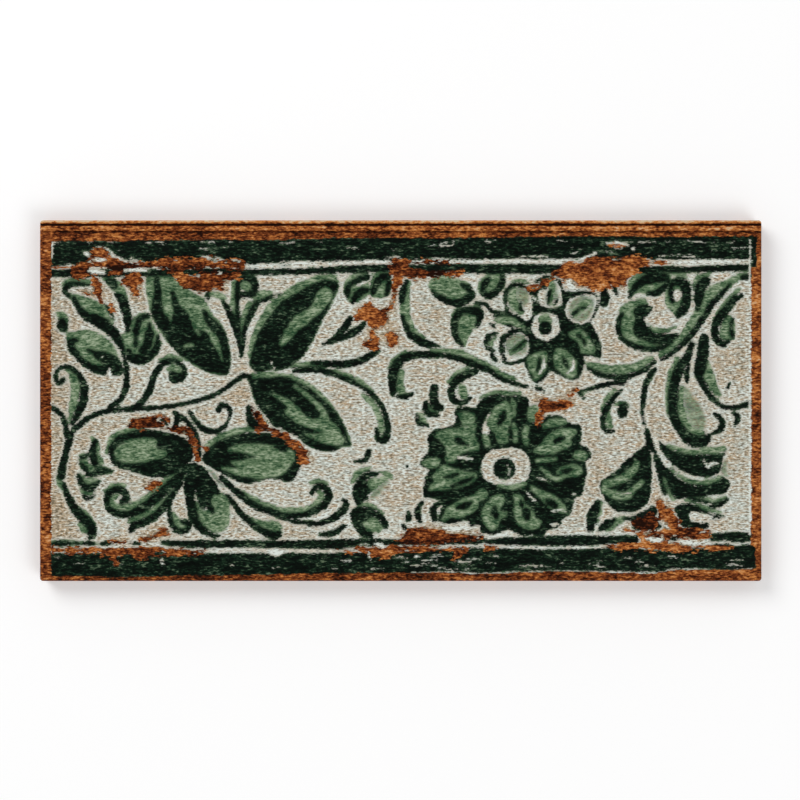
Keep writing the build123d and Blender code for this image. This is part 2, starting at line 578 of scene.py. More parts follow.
def paint_main_stem():
    """The stem from the spray to the lower left corner, with the tendrils on it."""
    dark.stroke(
        (1.8, 1.8, 1.7, 1.8, 1.9, 2.4, 2.8),
        (-58.4, 9), (-61, 9.6), (-64, 7.6), (-68, 4.7), (-72, 2.3), (-76, 0.9), (-80, -0.3),
        (-84, -1.3), (-88, -2.1), (-94, -2.7), (-100, -3.1), (-106, -3.3), (-111, -3.7), (-116, -4.6),
        (-120, -6), (-123, -8.2), (-126.8, -11.5), (-128.4, -15.4), (-129.6, -19.3), (-130.4, -22.4),
        (-131.2, -26), (-131.6, -29.4),
    )
    sage.stroke((1.6, 2, 1.4), (-132, -29.4), (-132.2, -31.4), (-131.2, -33.4))
    dark.stroke(
        (1.4, 2.2, 2.8, 3.2, 3.4, 3.6, 3.6, 3, 2),
        (-130.6, -32.6), (-129.4, -36), (-128, -39), (-126.4, -42), (-124, -44.8), (-121.6, -47),
        (-119.8, -49.4), (-119.6, -51.6), (-120.4, -53),
    )
    sage.stroke((0.8, 1.4, 1), (-124, -42), (-121.4, -44.4), (-119, -47.6))
    sage.stroke((1, 2.4, 1.6), (-124.6, -47.6), (-123, -49.6), (-120.8, -51.4))
    dark.stroke(
        (2.2, 2.6, 2.4, 2, 1.8, 2.4),
        (-103.5, -2.8), (-99.4, 0.6), (-97, 5), (-95.4, 10), (-92.4, 14), (-88.6, 15.4), (-85, 13.8),
        (-83.9, 10.8), (-85, 8.6),
    )
    dark.stroke((5.2, 5.6), (-87.4, 9.2), (-86.2, 9.6))
    sage.stroke((1.2, 2, 1.2), (-93.4, 15.6), (-89.4, 17), (-85.4, 15.8))
    light.stroke((1.4, 2, 1.2), (-89.8, 12.4), (-88, 13), (-85.8, 12))
    sage.stroke(
        (1.6, 3, 3.4, 2.6, 1.2),
        (-129, 12.4), (-126.4, 9), (-126.2, 3), (-127, -2), (-128.4, -8),
    )
    dark.stroke(
        (1.6, 1.8, 1.4, 1.4, 1.6),
        (-130.8, 8), (-132.4, 6.9), (-133.8, 8.8), (-133.2, 11.6), (-130.6, 13.2), (-127.6, 12.8),
        (-125.4, 11),
    )
    dark.stroke(
        (1.4, 2.6, 3.2, 3, 1.6),
        (-124.8, 10.8), (-122.8, 6), (-122.8, 1), (-124.4, -3.6), (-127.2, -9),
    )
    dark.stroke((1.8, 1.8, 2, 2.2), (-134.8, -2.8), (-132, -5), (-130.2, -8.5), (-129.2, -14))
    dark.stroke(
        (2.2, 2.2, 2, 1.8, 1.4),
        (-70.6, -3.8), (-69.6, -2), (-67.4, -2.4), (-66.2, -4), (-66.4, -6.2),
    )
    dark.stroke(
        (1, 1.8, 2, 2, 1.2),
        (-82, -4), (-79.4, -8), (-76, -11.2), (-71.4, -12), (-68.4, -10), (-66.8, -7.4),
    )
    dark.stroke(
        (1.6, 2, 2, 1.4),
        (-87.6, -4.6), (-83.6, -7.4), (-80.4, -11.6), (-78.6, -17), (-78, -22),
    )
    dark.stroke((1.6, 2, 1.6), (-87, -5), (-86.8, -8), (-88, -10.6))


def paint_lower_leaf():
    """The lower right leaf of the large spray."""
    sage.patch(
        (-58.6, 9.6), (-54, 10.8), (-48, 10.8), (-42, 9.8), (-36, 7), (-31, 3), (-26.6, -1.6),
        (-23.4, -6.5), (-21, -12), (-19.4, -17.2), (-22.6, -17.4), (-26, -19.4), (-31, -19), (-36, -17),
        (-40, -13.6), (-44.6, -11.4), (-50, -9.6), (-53.6, -5.8), (-56, -0.8), (-57.6, 5),
    )
    dark.patch(
        (-58, 8.2), (-50, 8.8), (-44.4, 8.6), (-40, 7.2), (-35, 4.2), (-30.5, 0.6), (-26.5, -3),
        (-23.6, -7), (-21.4, -12), (-19.6, -17), (-22.4, -17.4), (-26.2, -19.5), (-31, -19),
        (-36, -17.2), (-40, -13.8), (-44.4, -11.6), (-49.6, -9.4), (-53.4, -5.4), (-56, -0.4),
        (-57.6, 4.6),
    )
    light.patch(
        (-44.6, -4.6), (-42.6, -2.4), (-40.2, -2.6), (-38.2, -5), (-35, -7.2), (-31.8, -6.6),
        (-30.2, -4.4), (-28.6, -5.2), (-27.4, -8), (-25, -10), (-23.6, -13), (-22.2, -16), (-24.6, -17),
        (-28.6, -16.4), (-33, -14.8), (-37.8, -12.6), (-34, -13.2), (-30, -12.4), (-34, -10.6),
        (-39, -8.6), (-42.4, -6.4),
    )
    light.stroke((0.6, 1.4, 1.8), (-49.4, 2.4), (-46, 0.6), (-42.4, -2.2))
    light.stroke((0.4, 1, 1.2, 1.6), (-41, 5.4), (-36.4, 2.2), (-32.6, -1.4), (-29.6, -4.8))
    fleck.stroke(0.8, (-56, -2), (-52, -7), (-49.6, -10.4), (-45.6, -11.4), (-43, -13.6), (-39, -17))
    dark.stroke((1.6, 2.8, 3.6, 3), (-59, -2.6), (-58.6, -5.6), (-57.4, -8.6), (-54.6, -9.4))


def paint_long_tendrils():
    """The long tendril right of the spray, and the arches between the two rosettes."""
    dark.stroke(
        (2, 2.2, 1.8, 1.6, 1.8, 2.2, 2.4),
        (-41, 11.6), (-36, 12), (-30, 11.4), (-24, 9.4), (-18, 6.8), (-12, 3), (-8, -1), (-5.8, -6),
        (-4.9, -11), (-5.6, -14.8),
    )
    dark.stroke((2.4, 2.6, 2.2, 1.4), (-5.2, -13), (-6.6, -15.4), (-8.8, -14.6), (-9.4, -11.4))
    sage.stroke((1.8, 2.2, 1.6), (-42, 13.8), (-36, 13.8), (-30, 12.8))
    sage.stroke((1, 1.6, 1.6, 1), (-25.5, 11.2), (-20.5, 9.6), (-15, 7), (-10.6, 3.2))
    sage.stroke((1.2, 1.8, 2, 1.6), (-14.6, 2), (-10.4, -2), (-8, -7), (-7.4, -12))
    dark.stroke(
        (1.4, 2.6, 2.8, 2.6, 1.6),
        (-34, 14.6), (-28, 14.4), (-21, 14.1), (-15.5, 15.4), (-11, 18.2), (-8.6, 19.6),
    )
    dark.stroke(
        (2.2, 3.4, 3.6, 3.2, 3, 2),
        (-3, 2.6), (-3.2, 8), (-2.4, 12), (-0.6, 15), (3, 17.2), (7.5, 17.8), (15, 17.6),
    )
    sage.stroke((1.2, 1.8, 1.2), (-4.6, 12.6), (-2.4, 16), (1.6, 18.8))
    sage.stroke((2.4, 3.2, 2.6), (0.2, 11), (-0.6, 7), (0.8, 3))
    dark.stroke((0.8, 2.2, 1.6), (-1.6, 1.6), (1.8, 1.4), (4.4, 2.6))
    dark.stroke(
        (1.4, 2.2, 2.4, 2.2, 1.8, 1.6, 1),
        (15, 17.4), (20, 16.9), (26, 15), (30, 13.2), (34, 11.6), (38, 8.8), (43, 6.8), (49, 5.4),
    )
    sage.stroke(
        (1.6, 2, 1.8, 1.6),
        (12, 19.4), (20, 19.2), (25, 17.8), (30, 15.4), (36, 12.2), (40, 9.8), (44, 8.4),
    )
    dark.stroke(
        (2.4, 3, 2.8, 2.4, 2.2, 1.4),
        (28.8, 11.2), (24.9, 9.6), (21, 6.9), (19.5, 3.4), (20.6, 0.3), (23.7, -0.9), (26.8, 1),
    )
    sage.stroke((1.2, 1.8, 1.2), (26, 12), (22, 10.6), (18.6, 7.4))
    light.stroke((1.4, 3, 2.4), (23.4, 5.6), (24, 3.6), (24.6, 2))
    dark.stroke((3, 3.4, 3.6, 2.4), (13, 5), (12.8, 1), (13.4, -1.6), (15.4, -2.8))
    dark.stroke((1.6, 2.4, 2, 1.4), (9.8, -0.6), (9.6, -3), (11.2, -5.2), (14.4, -6))
    sage.stroke((1.4, 2.2, 1.2), (11, -2.2), (12.2, -3.6), (14, -4.4))
    dark.stroke((1, 1.8, 1.6, 0.8), (6, -5.6), (6.6, -8), (8.6, -9.4), (10.4, -9.6))
    sage.stroke((1.2, 1.8, 1), (7.4, -5.6), (8.4, -7), (9.6, -8))


def paint_upper_middle_leaves():
    """The crescent and the small leaves under the upper border, either side of the upper rosette."""
    dark.stroke((1.6, 2.6, 1.6), (2.2, 46), (0.8, 42.6), (0.2, 38.6))
    dark.stroke(
        (0.8, 1.8, 2.4, 3, 3.2, 1),
        (0.4, 33), (1.6, 29.4), (3.8, 25.6), (7, 23.2), (10.6, 22), (14.8, 21.2),
    )
    sage.stroke(
        (1.6, 3, 3.6, 3, 1.8, 0.8),
        (3, 45.4), (2, 41), (1.6, 36), (2.6, 31), (5, 27.2), (9, 24.6),
    )
    sage.patch(
        (-21.6, 46), (-18.6, 48.8), (-13.4, 50), (-12.6, 45), (-12.8, 41), (-16, 38), (-19.6, 38),
        (-21.4, 41.6),
    )
    dark.stroke((0.8, 1.6, 2, 1), (-17.6, 47), (-20, 44.6), (-20.8, 42), (-20.6, 40.4))
    dark.stroke((1, 2.2, 2), (-19, 45), (-16, 47), (-13, 47.8))
    dark.stroke((1, 2.4, 2.6, 1.6), (-18.6, 38), (-17.4, 40.2), (-15.4, 42), (-13, 42.8))
    fleck.stroke((0.4, 1, 0.4), (-17, 44.6), (-14.6, 45.6), (-12.6, 46.2))
    sage.patch(
        (-11.6, 46), (-9, 49.8), (-5, 50), (-4, 46), (-4.6, 42), (-6.8, 40), (-9.6, 40.4),
        (-11.4, 41.6),
    )
    dark.stroke((1.4, 2.4, 2.6, 2), (-11, 41.4), (-9.8, 44.6), (-7.4, 47.6), (-4.6, 48.4))
    dark.stroke((1, 2, 1.6), (-5, 47.6), (-4.6, 44.6), (-5.4, 41.4))
    sage.patch(
        (10.8, 44.5), (12.6, 47.6), (17, 48.6), (22, 47.2), (25.6, 45.6), (27, 43), (26.4, 39.6),
        (22, 38.4), (17, 39.6), (13, 42),
    )
    dark.stroke((0.8, 2, 2.4, 2.8, 3), (12.2, 42.4), (14.6, 40), (19, 38.2), (23.5, 38), (27.2, 40.4))
    dark.stroke((1, 2.4, 2), (23.6, 45), (26.2, 43.4), (28.2, 41))
    sage.patch(
        (20, 34), (24, 36.4), (29.6, 36.6), (31.6, 34.4), (30.4, 30.6), (28.4, 28), (26.4, 25.4),
        (24.4, 21.4), (21.6, 22.8), (20, 27),
    )
    dark.stroke((1.6, 2.2, 2.4, 2.4, 1.2), (26, 35.4), (22.6, 34), (20.8, 30), (21.4, 25), (23.6, 21.6))
    dark.stroke((1.6, 3, 3.2, 1.4), (24, 34.6), (28, 34.8), (30.6, 33.4), (30, 29))
    sage.patch((30, 45), (33.6, 49), (38.6, 50), (40, 46), (38, 42), (34.6, 40.6), (31, 41.6))
    dark.stroke((1.2, 2.2, 2.2, 2.6, 2), (39, 50), (39.6, 46.8), (38, 43.2), (34.6, 40.6), (31.6, 41.6))
    dark.stroke((1, 2.2, 1.2), (31.4, 42.6), (32.4, 45), (34, 47.2))
    dark.stroke((0.8, 1.4, 1.4, 1.6), (29, 38), (33, 37.2), (35.6, 34.6), (40, 33.8))


def paint_upper_rosette():
    """Eight petals round a white ring, each light with a dark vein, on a dark ground."""
    dark.patch(
        (56, 48.6), (59, 48.4), (62, 46.6), (63.2, 43), (65, 42.2), (70, 42.6), (75.4, 41.4),
        (76.4, 37), (75.2, 33), (73.6, 30.2), (75.4, 27.2), (77.4, 22.4), (77.6, 17), (75, 17.2),
        (70.8, 17.2), (71, 14), (69.8, 10.4), (68.4, 8), (64, 8.8), (60, 10.8), (57.8, 11.6), (56, 8.6),
        (53, 7), (50.4, 8.8), (48.6, 13), (47.4, 15), (43, 13.8), (39.6, 15), (40, 19), (39.4, 22),
        (40.4, 25.2), (43, 27.8), (46.6, 28.2), (43.6, 29.4), (41, 31.4), (36, 32), (36, 33.4),
        (40, 34.2), (40.4, 38), (40.4, 42), (42.4, 45), (46, 45.2), (49.6, 44), (53, 43.6), (54, 46),
    )
    for petal in (
        (
            (57.6, 47.6), (60, 46), (61.6, 42.6), (62, 39), (61.6, 37), (57.4, 36.6), (54.4, 37.8),
            (53.6, 40.6), (54.4, 42.8), (56.8, 42.6), (57.4, 45),
        ),
        (
            (64.2, 34.2), (65.6, 38.6), (68, 40), (71, 40.6), (74.8, 40.4), (75.4, 37.6), (74.4, 34.4),
            (72, 31), (69.4, 30.2), (66.2, 31.6),
        ),
        (
            (41, 22), (42.6, 24.4), (45.4, 25.6), (47.4, 25.4), (48.8, 23.6), (49.4, 20.4), (48, 17.6),
            (45.4, 16.4), (41.6, 15.8),
        ),
        (
            (42.6, 42.6), (45, 43.6), (48.4, 42.6), (49.6, 40.6), (50.6, 37), (50.2, 33), (48.6, 31.6),
            (45.6, 33.6), (42.6, 35.4), (42, 39),
        ),
    ):
        white.patch(*petal)
    for petal in (
        ((57.6, 47.4), (60, 45.8), (60.8, 42), (60.8, 39), (59, 37), (57, 37), (56.2, 40), (57.4, 43)),
        ((65, 34), (66.6, 38.6), (70.6, 40.4), (74.6, 39.4), (74.2, 35), (71, 31.2), (67, 31.6)),
        ((40.6, 23.4), (43.6, 25.8), (47.6, 25.6), (49.2, 22), (48, 18.6), (44.6, 17.4), (41.6, 18.4)),
        ((41.6, 42.8), (45.6, 44.4), (49, 42.6), (49.2, 38.6), (46.6, 35.6), (42.4, 35)),
    ):
        wash.patch(*petal)
    for petal in (
        (
            (65.4, 26), (68, 27.4), (70.6, 27.2), (73.2, 24), (74.6, 20.6), (75, 18.4), (70.2, 18.4),
            (70, 20.4), (68.4, 23.4), (66, 24.8),
        ),
        (
            (60.6, 19.6), (63, 19.4), (66, 17.4), (67.8, 14.6), (67.8, 11), (66.4, 9.2), (62.6, 10.8),
            (60.2, 13.4), (59.6, 16.6),
        ),
        (
            (55.6, 19), (56.6, 16.4), (56.2, 13), (54.6, 10.2), (52.4, 8.6), (51.4, 10.4), (49.8, 12.6),
            (49.4, 16), (52, 18),
        ),
        ((36.4, 31.4), (40, 32.4), (43.6, 32), (46, 30), (47.8, 28.4), (44, 28.8), (39, 30)),
    ):
        light.patch(*petal)
    for vein in (
        ((58, 42.6), (57.4, 40.6), (57.2, 37.6)),
        ((60.6, 39), (60.2, 38.2), (59.6, 37.4)),
        ((71.9, 35.8), (68.7, 35.3), (66.2, 32.8)),
        ((68.4, 25.6), (69.4, 24.8), (70, 24)),
        ((70.4, 24), (71, 23), (71.4, 21.8)),
        ((62.8, 16.8), (63.8, 15), (64.6, 13)),
        ((53.8, 16.6), (53.6, 14), (52.8, 11.6)),
        ((48, 23), (46, 21), (43.4, 19.6)),
        ((40.8, 29.2), (42, 29.2), (43.2, 29)),
        ((46.6, 37.6), (46.4, 36), (47.4, 35)),
    ):
        ink.stroke((0.9, 1.6, 0.9), *vein)
    light.stroke((2, 3, 3, 2), (43.6, 42.6), (43.4, 39), (45, 36.4), (46.6, 34.6))
    light.stroke((1.4, 2.2, 2), (58.2, 46.6), (58.6, 43), (58, 39))
    light.stroke((2, 3, 2), (72.8, 38.4), (70.2, 36.4), (67.4, 33.4))
    light.stroke((1.6, 2.6, 2), (48, 23.2), (46, 20.8), (43, 18.8))
    ink.stroke((1, 1.6, 1.6, 1.2), (44, 44.8), (40.8, 42.6), (40.6, 38.6), (41.2, 35))
    ink.stroke((1.2, 2, 2, 1.6, 1), (44, 27), (40.2, 25), (39, 21.4), (39.4, 17.4), (41.6, 15.2))
    white.patch(
        (56.2, 33.7), (59.9, 32.4), (61.2, 28.8), (59.9, 25.3), (56.2, 23.8), (52.7, 25.3),
        (51.2, 28.8), (52.7, 32.4),
    )
    light.stroke((2, 3.4, 2), (54.8, 31.2), (56, 31.6), (57.4, 31))
    ink.dots(5.4, (56, 28.2))
    fleck.stroke((0.5, 1, 0.5), (50.6, 40.6), (51.8, 39.6), (52.8, 38.4))
    fleck.stroke((0.5, 1.2, 0.6), (55.4, 16.4), (55.4, 13), (53.6, 10.4))
    fleck.stroke((0.5, 1.2, 0.6), (66.8, 16), (66.8, 12.8), (64.6, 10.6))
    dark.stroke((0.8, 1.2, 0.8), (56.6, 48.4), (54.6, 47.2), (52.4, 46.2))
    dark.stroke((0.8, 1.2, 0.7), (34.8, 29.6), (35.6, 29), (36.4, 28.2))
    sage.stroke((0.8, 1.4, 0.8), (43, 46), (46, 46.6), (49.4, 45.4))
    dark.stroke((1.2, 1.8, 1.6, 1.4), (37, 26), (34.6, 25.4), (33, 23), (33.6, 20.4), (36, 19))
    dark.stroke((1, 1.6, 1), (35.4, 19), (35.6, 17), (37, 15.4))
    sage.stroke((1.2, 2, 1.2), (36.2, 24), (35, 23), (35.2, 21.4))
    dark.stroke((1.2, 1.8), (52.6, 4.8), (54, 4.4))


def paint_upper_right_leaves():
    """The leaves under the upper border at the right, and the long stem that falls from the corner."""
    dark.stroke((1.8, 2.6, 3.6, 3.2), (78, 45.6), (78.6, 42.6), (79.2, 40), (78.8, 37.8))
    dark.stroke((1.8, 1.8, 1.2), (82.6, 45.6), (83, 43), (84, 41))
    dark.stroke((1, 1.4), (89, 42), (88.8, 40))
    sage.patch(
        (88.2, 45.4), (91, 48.6), (96, 49.8), (101, 50.2), (104.6, 48.4), (104.4, 45.4), (101.6, 42.6),
        (97.6, 41), (93, 42), (89.4, 41.4),
    )
    dark.stroke((1.2, 3, 3.6, 3.2), (89.4, 42), (92.6, 45.6), (97.4, 47.4), (102.6, 47.6))
    dark.stroke((1.4, 2, 2.2, 1.6), (96, 41.8), (98.8, 41.6), (101.6, 43.4), (103.8, 46))
    sage.stroke(
        (3, 5, 5, 4, 3, 2),
        (94, 38.4), (87.6, 35), (87, 29.4), (89, 25), (94, 22.4), (100, 21.8),
    )
    dark.stroke(
        (0.8, 1.8, 1.8, 1.8, 2, 2.2, 1),
        (85.8, 33.6), (84.2, 29.6), (85, 25.4), (88.4, 22), (93.4, 20.2), (99.6, 20), (105, 22.6),
    )
    dark.patch(
        (97.6, 36), (94.6, 37), (91.8, 36.4), (90.4, 34.4), (91.2, 32), (90.4, 28.6), (91, 25.6),
        (93.6, 23.8), (98, 22.2), (103, 21.8), (105.6, 23.4), (107.4, 25.8), (103, 25.8), (99, 26),
        (96.8, 27.6), (95, 30), (94.6, 32.4), (96.6, 33.8),
    )
    sage.stroke((2, 3, 2), (91.4, 34.4), (90, 31), (90, 27))
    sage.stroke((0.6, 1.6, 1.6, 0.6), (96.4, 29), (98.6, 27.4), (102.6, 27.2), (106.8, 28.6))
    sage.stroke((1.6, 2.6, 1.4), (103.6, 44), (104, 38), (106.6, 34))
    sage.stroke((1, 1.6, 1), (104, 49.4), (107, 49.4), (110.6, 48))
    dark.stroke(
        (1.6, 3.2, 3.4, 3.6, 3.6, 2.4),
        (105, 45), (107.6, 46.4), (110.4, 44.6), (110.8, 40), (110, 36), (107.6, 33),
    )
    dark.stroke((1.6, 2, 1.4), (104.6, 45), (104.8, 41.6), (105.4, 38.6))
    sage.patch((105, 45.4), (107.4, 46), (109, 43), (108.8, 38), (107.4, 34.6), (105, 37.4))
    white.patch((106.4, 42), (107.7, 42.3), (108.2, 40.6), (107.3, 39), (106.4, 39.6))
    sage.stroke((1.4, 2.4, 1.6), (119, 49), (115.8, 47.6), (113.6, 45))
    dark.stroke(
        (3, 4.2, 3.6, 2.6, 1.6),
        (118.6, 46.4), (116.4, 44.2), (115.4, 41), (115.2, 38), (115, 35.6),
    )
    sage.stroke(
        (3, 3.6, 3.6, 3, 2.6, 2.2, 2),
        (126, 45), (121, 42), (117.4, 37), (113.6, 31), (110, 26), (105, 21), (101, 18),
    )
    sage.stroke((1.6, 2.6, 2), (133.4, 49), (128.6, 46.6), (125, 43.6))
    sage.stroke((1.2, 2, 2, 1.4), (131, 43), (127.2, 38.8), (123.4, 33.8), (121.4, 29.6))
    dark.stroke(
        (1, 1.8, 2.2, 2.2, 2, 1.8, 1.6, 0.8),
        (127.4, 44.6), (124, 41), (121, 37.6), (118.4, 33.6), (115, 28.4), (112, 24.6), (108, 20.6),
        (104, 17.6), (101, 15.8),
    )
    sage.patch((125.6, 33), (128.6, 32), (129.4, 27), (127.6, 23.6), (124.6, 24), (124, 28))
    dark.stroke(
        (1.4, 2.8, 3.2, 3.2, 3, 2.6, 2.4, 2.2, 1.2),
        (132, 40.8), (129.6, 39.4), (127, 36.6), (125, 34), (123, 31), (121.8, 28), (121.8, 25),
        (123.2, 22.6), (125, 21.8), (127, 23),
    )
    dark.stroke((0.6, 1.2, 1.6, 0.8), (128.8, 31.8), (128, 29), (128.2, 26.4), (128.6, 24.6))
    dark.stroke((1.2, 2.4), (132.4, 47.8), (136, 47.6))


def paint_right_tendrils():
    """The long leaf stroke right of the upper rosette, and the hooks and drops below it."""
    sage.stroke((2.4, 3, 3.2, 2.8, 2), (73, 13.8), (79, 12.4), (86, 12), (92, 13.6), (97, 16.4))
    dark.stroke(
        (1.2, 1.8, 2, 2, 1.8, 1.4),
        (72.8, 12.4), (76, 10.6), (80, 9.4), (84, 9), (88, 9.4), (92, 10.6), (95, 12.2), (98.5, 15.2),
    )
    dark.stroke((0.8, 1.6, 2, 2.2), (69.6, 3.6), (75, 5), (81, 6.6), (86.6, 7.2))
    dark.stroke((1, 1.4, 0.8), (69, 3), (70, 2.2), (71, 1))
    dark.stroke(
        (0.8, 1.8, 2, 2.2, 1.8, 1.6, 1.8, 1),
        (86, 4.4), (83.6, 2.4), (81.4, -0.6), (79.6, -3.4), (78.4, -6.6), (78.4, -9.6), (79.8, -11.8),
        (82.6, -11.8),
    )
    sage.stroke((1, 1.8, 1), (83, 4.6), (80, 1), (78, -3))
    sage.stroke((1, 2, 1.4), (80.4, -5), (80.8, -7.4), (81.4, -9.8))
    dark.stroke((3.2, 4, 3.4), (86.2, -2.8), (86, -4.2), (86, -5))
    sage.stroke((0.8, 1.4, 0.8), (83.4, -1.4), (86, -0.8), (88.4, -1.8))
    dark.stroke(
        (1.4, 2.2, 2.2, 2.2, 1.8, 1.4, 1.2, 0.8),
        (98.6, 12), (96.8, 10), (95.4, 7.4), (94.4, 4), (94, 0), (93.6, -4), (94.2, -8), (94.6, -10),
    )
    dark.stroke((1.8, 2.6, 2.2, 1.2), (95.4, -11.8), (96, -15), (97.4, -18.4), (98.4, -20))
    wash.patch(
        (107.4, 5), (110, 5.6), (113, 2), (116, -2), (117.6, -6), (117.8, -10), (116.6, -12.6),
        (113, -13), (110, -11.6), (108, -8), (107.2, -3),
    )
    dark.stroke(
        (2.2, 3.4, 3.6, 3.6, 3.6, 3.2, 3.4, 3.6, 4.6, 4.6, 2),
        (112.8, 22), (111, 17), (108.6, 13), (106.6, 8), (105.6, 2), (105.4, -3), (106.6, -8),
        (109, -12), (112.6, -15.2), (117, -15.6), (119.4, -14),
    )
    dark.stroke((1.4, 1.8, 1), (111.6, 14), (110.8, 10), (111, 7))
    sage.stroke((1.6, 2.6, 3, 2.6, 1.6), (109, 5), (108.4, -2), (109.8, -8), (113, -11.8), (117, -12.6))
    sage.stroke((1.2, 2, 1.8, 1.2), (107.2, 16.4), (104.4, 9), (103.6, 2), (103.8, -5))
    dark.stroke(
        (3.6, 4.6, 4.4, 3.2, 2.4, 2.2, 2, 2, 1.8, 2, 2.6),
        (117.6, 24), (117, 18), (116, 13), (115.6, 10), (117, 6.4), (119, 3), (121.6, 0), (124.6, -2),
        (128, -2.6), (132, -2.2), (136.6, -0.8),
    )
    sage.stroke((2.2, 4, 3, 1.6), (118.4, 15), (119.4, 10), (121, 5.6), (123.4, 2))
    dark.stroke((1, 1.4), (127.2, 6.6), (126.8, 5))
    dark.stroke(
        (1, 2, 2.4, 2.2, 0.8),
        (121.6, -5), (123.6, -6.6), (124.6, -9), (123.4, -11.4), (120.8, -12.6),
    )
    dark.stroke((1.2, 2, 1.8, 0.6), (128.8, -4.6), (130.4, -6), (130.2, -8.2), (129.4, -9.6))


def paint_right_flower():
    """The flower at the lower right: a leaf to the left, and two lobes that open to the right."""
    dark.patch(
        (95.2, -17.6), (92.6, -19), (89.4, -21.4), (86.4, -24), (84.4, -26.6), (80.4, -29.4),
        (77.6, -31.6), (77.4, -34), (78.4, -36.2), (79.8, -39), (82, -41.6), (85, -42.9), (90, -43),
        (94, -41), (96, -38.4), (96.8, -35), (97, -31), (97.2, -27), (97, -22), (96.6, -19),
    )
    light.stroke(
        (1.4, 2.6, 2.2, 2.6, 2.4, 2),
        (91.6, -24.6), (90, -27.2), (87, -29.8), (83.4, -31.4), (80, -32.2), (78.6, -34),
    )
    light.stroke(
        (2, 2.8, 2.6, 1.6, 1),
        (79, -34.8), (82.6, -36.4), (87, -37), (90, -34.8), (93.4, -31.6),
    )
    fleck.stroke((0.3, 0.6, 0.3), (83.4, -35.8), (86, -36.2), (89, -35.8))
    dark.patch(
        (100.4, -16), (103, -18), (107, -20.2), (112, -21), (118, -21), (124, -20.6), (126, -20),
        (125, -22), (124.4, -24.4), (124, -27), (121.8, -29.2), (117, -29.6), (112, -28.4),
        (107.4, -25.8), (104, -23.2), (101.8, -20.2), (100.2, -17.4),
    )
    sage.stroke(
        (1, 1.6, 1.6, 2.4, 2),
        (104, -17.4), (109, -19.2), (114, -20), (119, -19.4), (125, -18.6),
    )
    wash.stroke((1.6, 2, 1.4), (125.6, -24), (125, -27), (126, -29))
    fleck.stroke((0.6, 1.2, 1), (117.4, -23), (118.6, -24.8), (119.2, -25.8))
    fleck.stroke((0.6, 1.4, 0.8), (119.6, -25.6), (120.4, -24.4), (123, -24))
    sage.stroke(
        (1.2, 1.8, 2, 1.8, 1),
        (105, -26.6), (111, -30.8), (116, -32), (121, -31.6), (124.4, -29.4),
    )
    dark.patch(
        (99, -20.6), (101.4, -24), (104.4, -27.6), (108.6, -31), (113, -32.8), (118, -33), (122.4, -32),
        (125.2, -29.8), (127.6, -32), (126.8, -34.6), (124.8, -36), (120.6, -36.4), (117, -37),
        (114, -37), (110.6, -37.4), (107.4, -38), (105.6, -36.6), (103.6, -36.2), (101.8, -36.4),
        (100.8, -33), (99.6, -28.6), (98.4, -24), (98, -21),
    )
    fleck.stroke(
        (0.3, 0.5, 0.4),
        (101, -20.6), (104, -24.6), (108, -28), (113, -29.9), (118, -30.4), (122.4, -29),
    )
    light.stroke((0.1, 0.3, 0.6, 1), (102, -30), (103, -33), (104.4, -36), (105.6, -38))
    sage.stroke((0.8, 1.3, 1.2, 0.8), (113, -36.8), (118, -38.2), (122, -38.8), (126, -37.6))
    dark.stroke((0.8, 1.3, 0.6), (112, -37.6), (116, -38.8), (119.6, -39.8))
    dark.stroke((1, 1.9, 1), (120, -40.8), (123.4, -40.2), (126.6, -38.6))
    sage.stroke((0.8, 1.5, 1.5, 0.8), (111, -38.4), (115, -40.2), (119.6, -42.2), (124, -43.2))
    dark.patch(
        (106, -42), (108, -40.4), (112, -40), (115.6, -41.2), (119.6, -43.6), (125.6, -44.9),
        (122, -45.6), (120, -46), (118.6, -47.2), (119.4, -49), (116, -50.2), (113, -49.4),
        (110, -49.4), (108, -47.6), (107.4, -44.4),
    )
    white.patch(
        (112, -44.6), (113, -43.5), (116, -43.9), (120, -45), (119.6, -46.4), (115.8, -46.8),
        (112.8, -46.2),
    )
    dark.patch(
        (86, -45.6), (90, -44.8), (94, -43), (97.6, -41), (99.4, -42.4), (99, -46), (101, -48.6),
        (98, -50), (92, -50.4), (90, -49), (89.8, -46.8),
    )
    dark.stroke(
        (1.6, 3.4, 3.8, 3.2, 2.4),
        (76.4, -39.2), (75.2, -42), (74.2, -45), (73.6, -48), (73.4, -50.2),
    )
    sage.stroke((0.8, 1.4, 0.8), (77.8, -39.6), (77, -43), (76, -47))
    sage.stroke((1.6, 3, 2.4, 1.4), (86, -45.6), (83.6, -47), (81, -49.2), (79.6, -50.4))
    dark.stroke((1, 3, 3, 1.4), (83, -46.2), (80.6, -47.4), (78.6, -49), (77, -50.6))
    fleck.stroke((0.5, 1, 0.7), (72, -51.2), (79, -51.2), (86, -50.8))


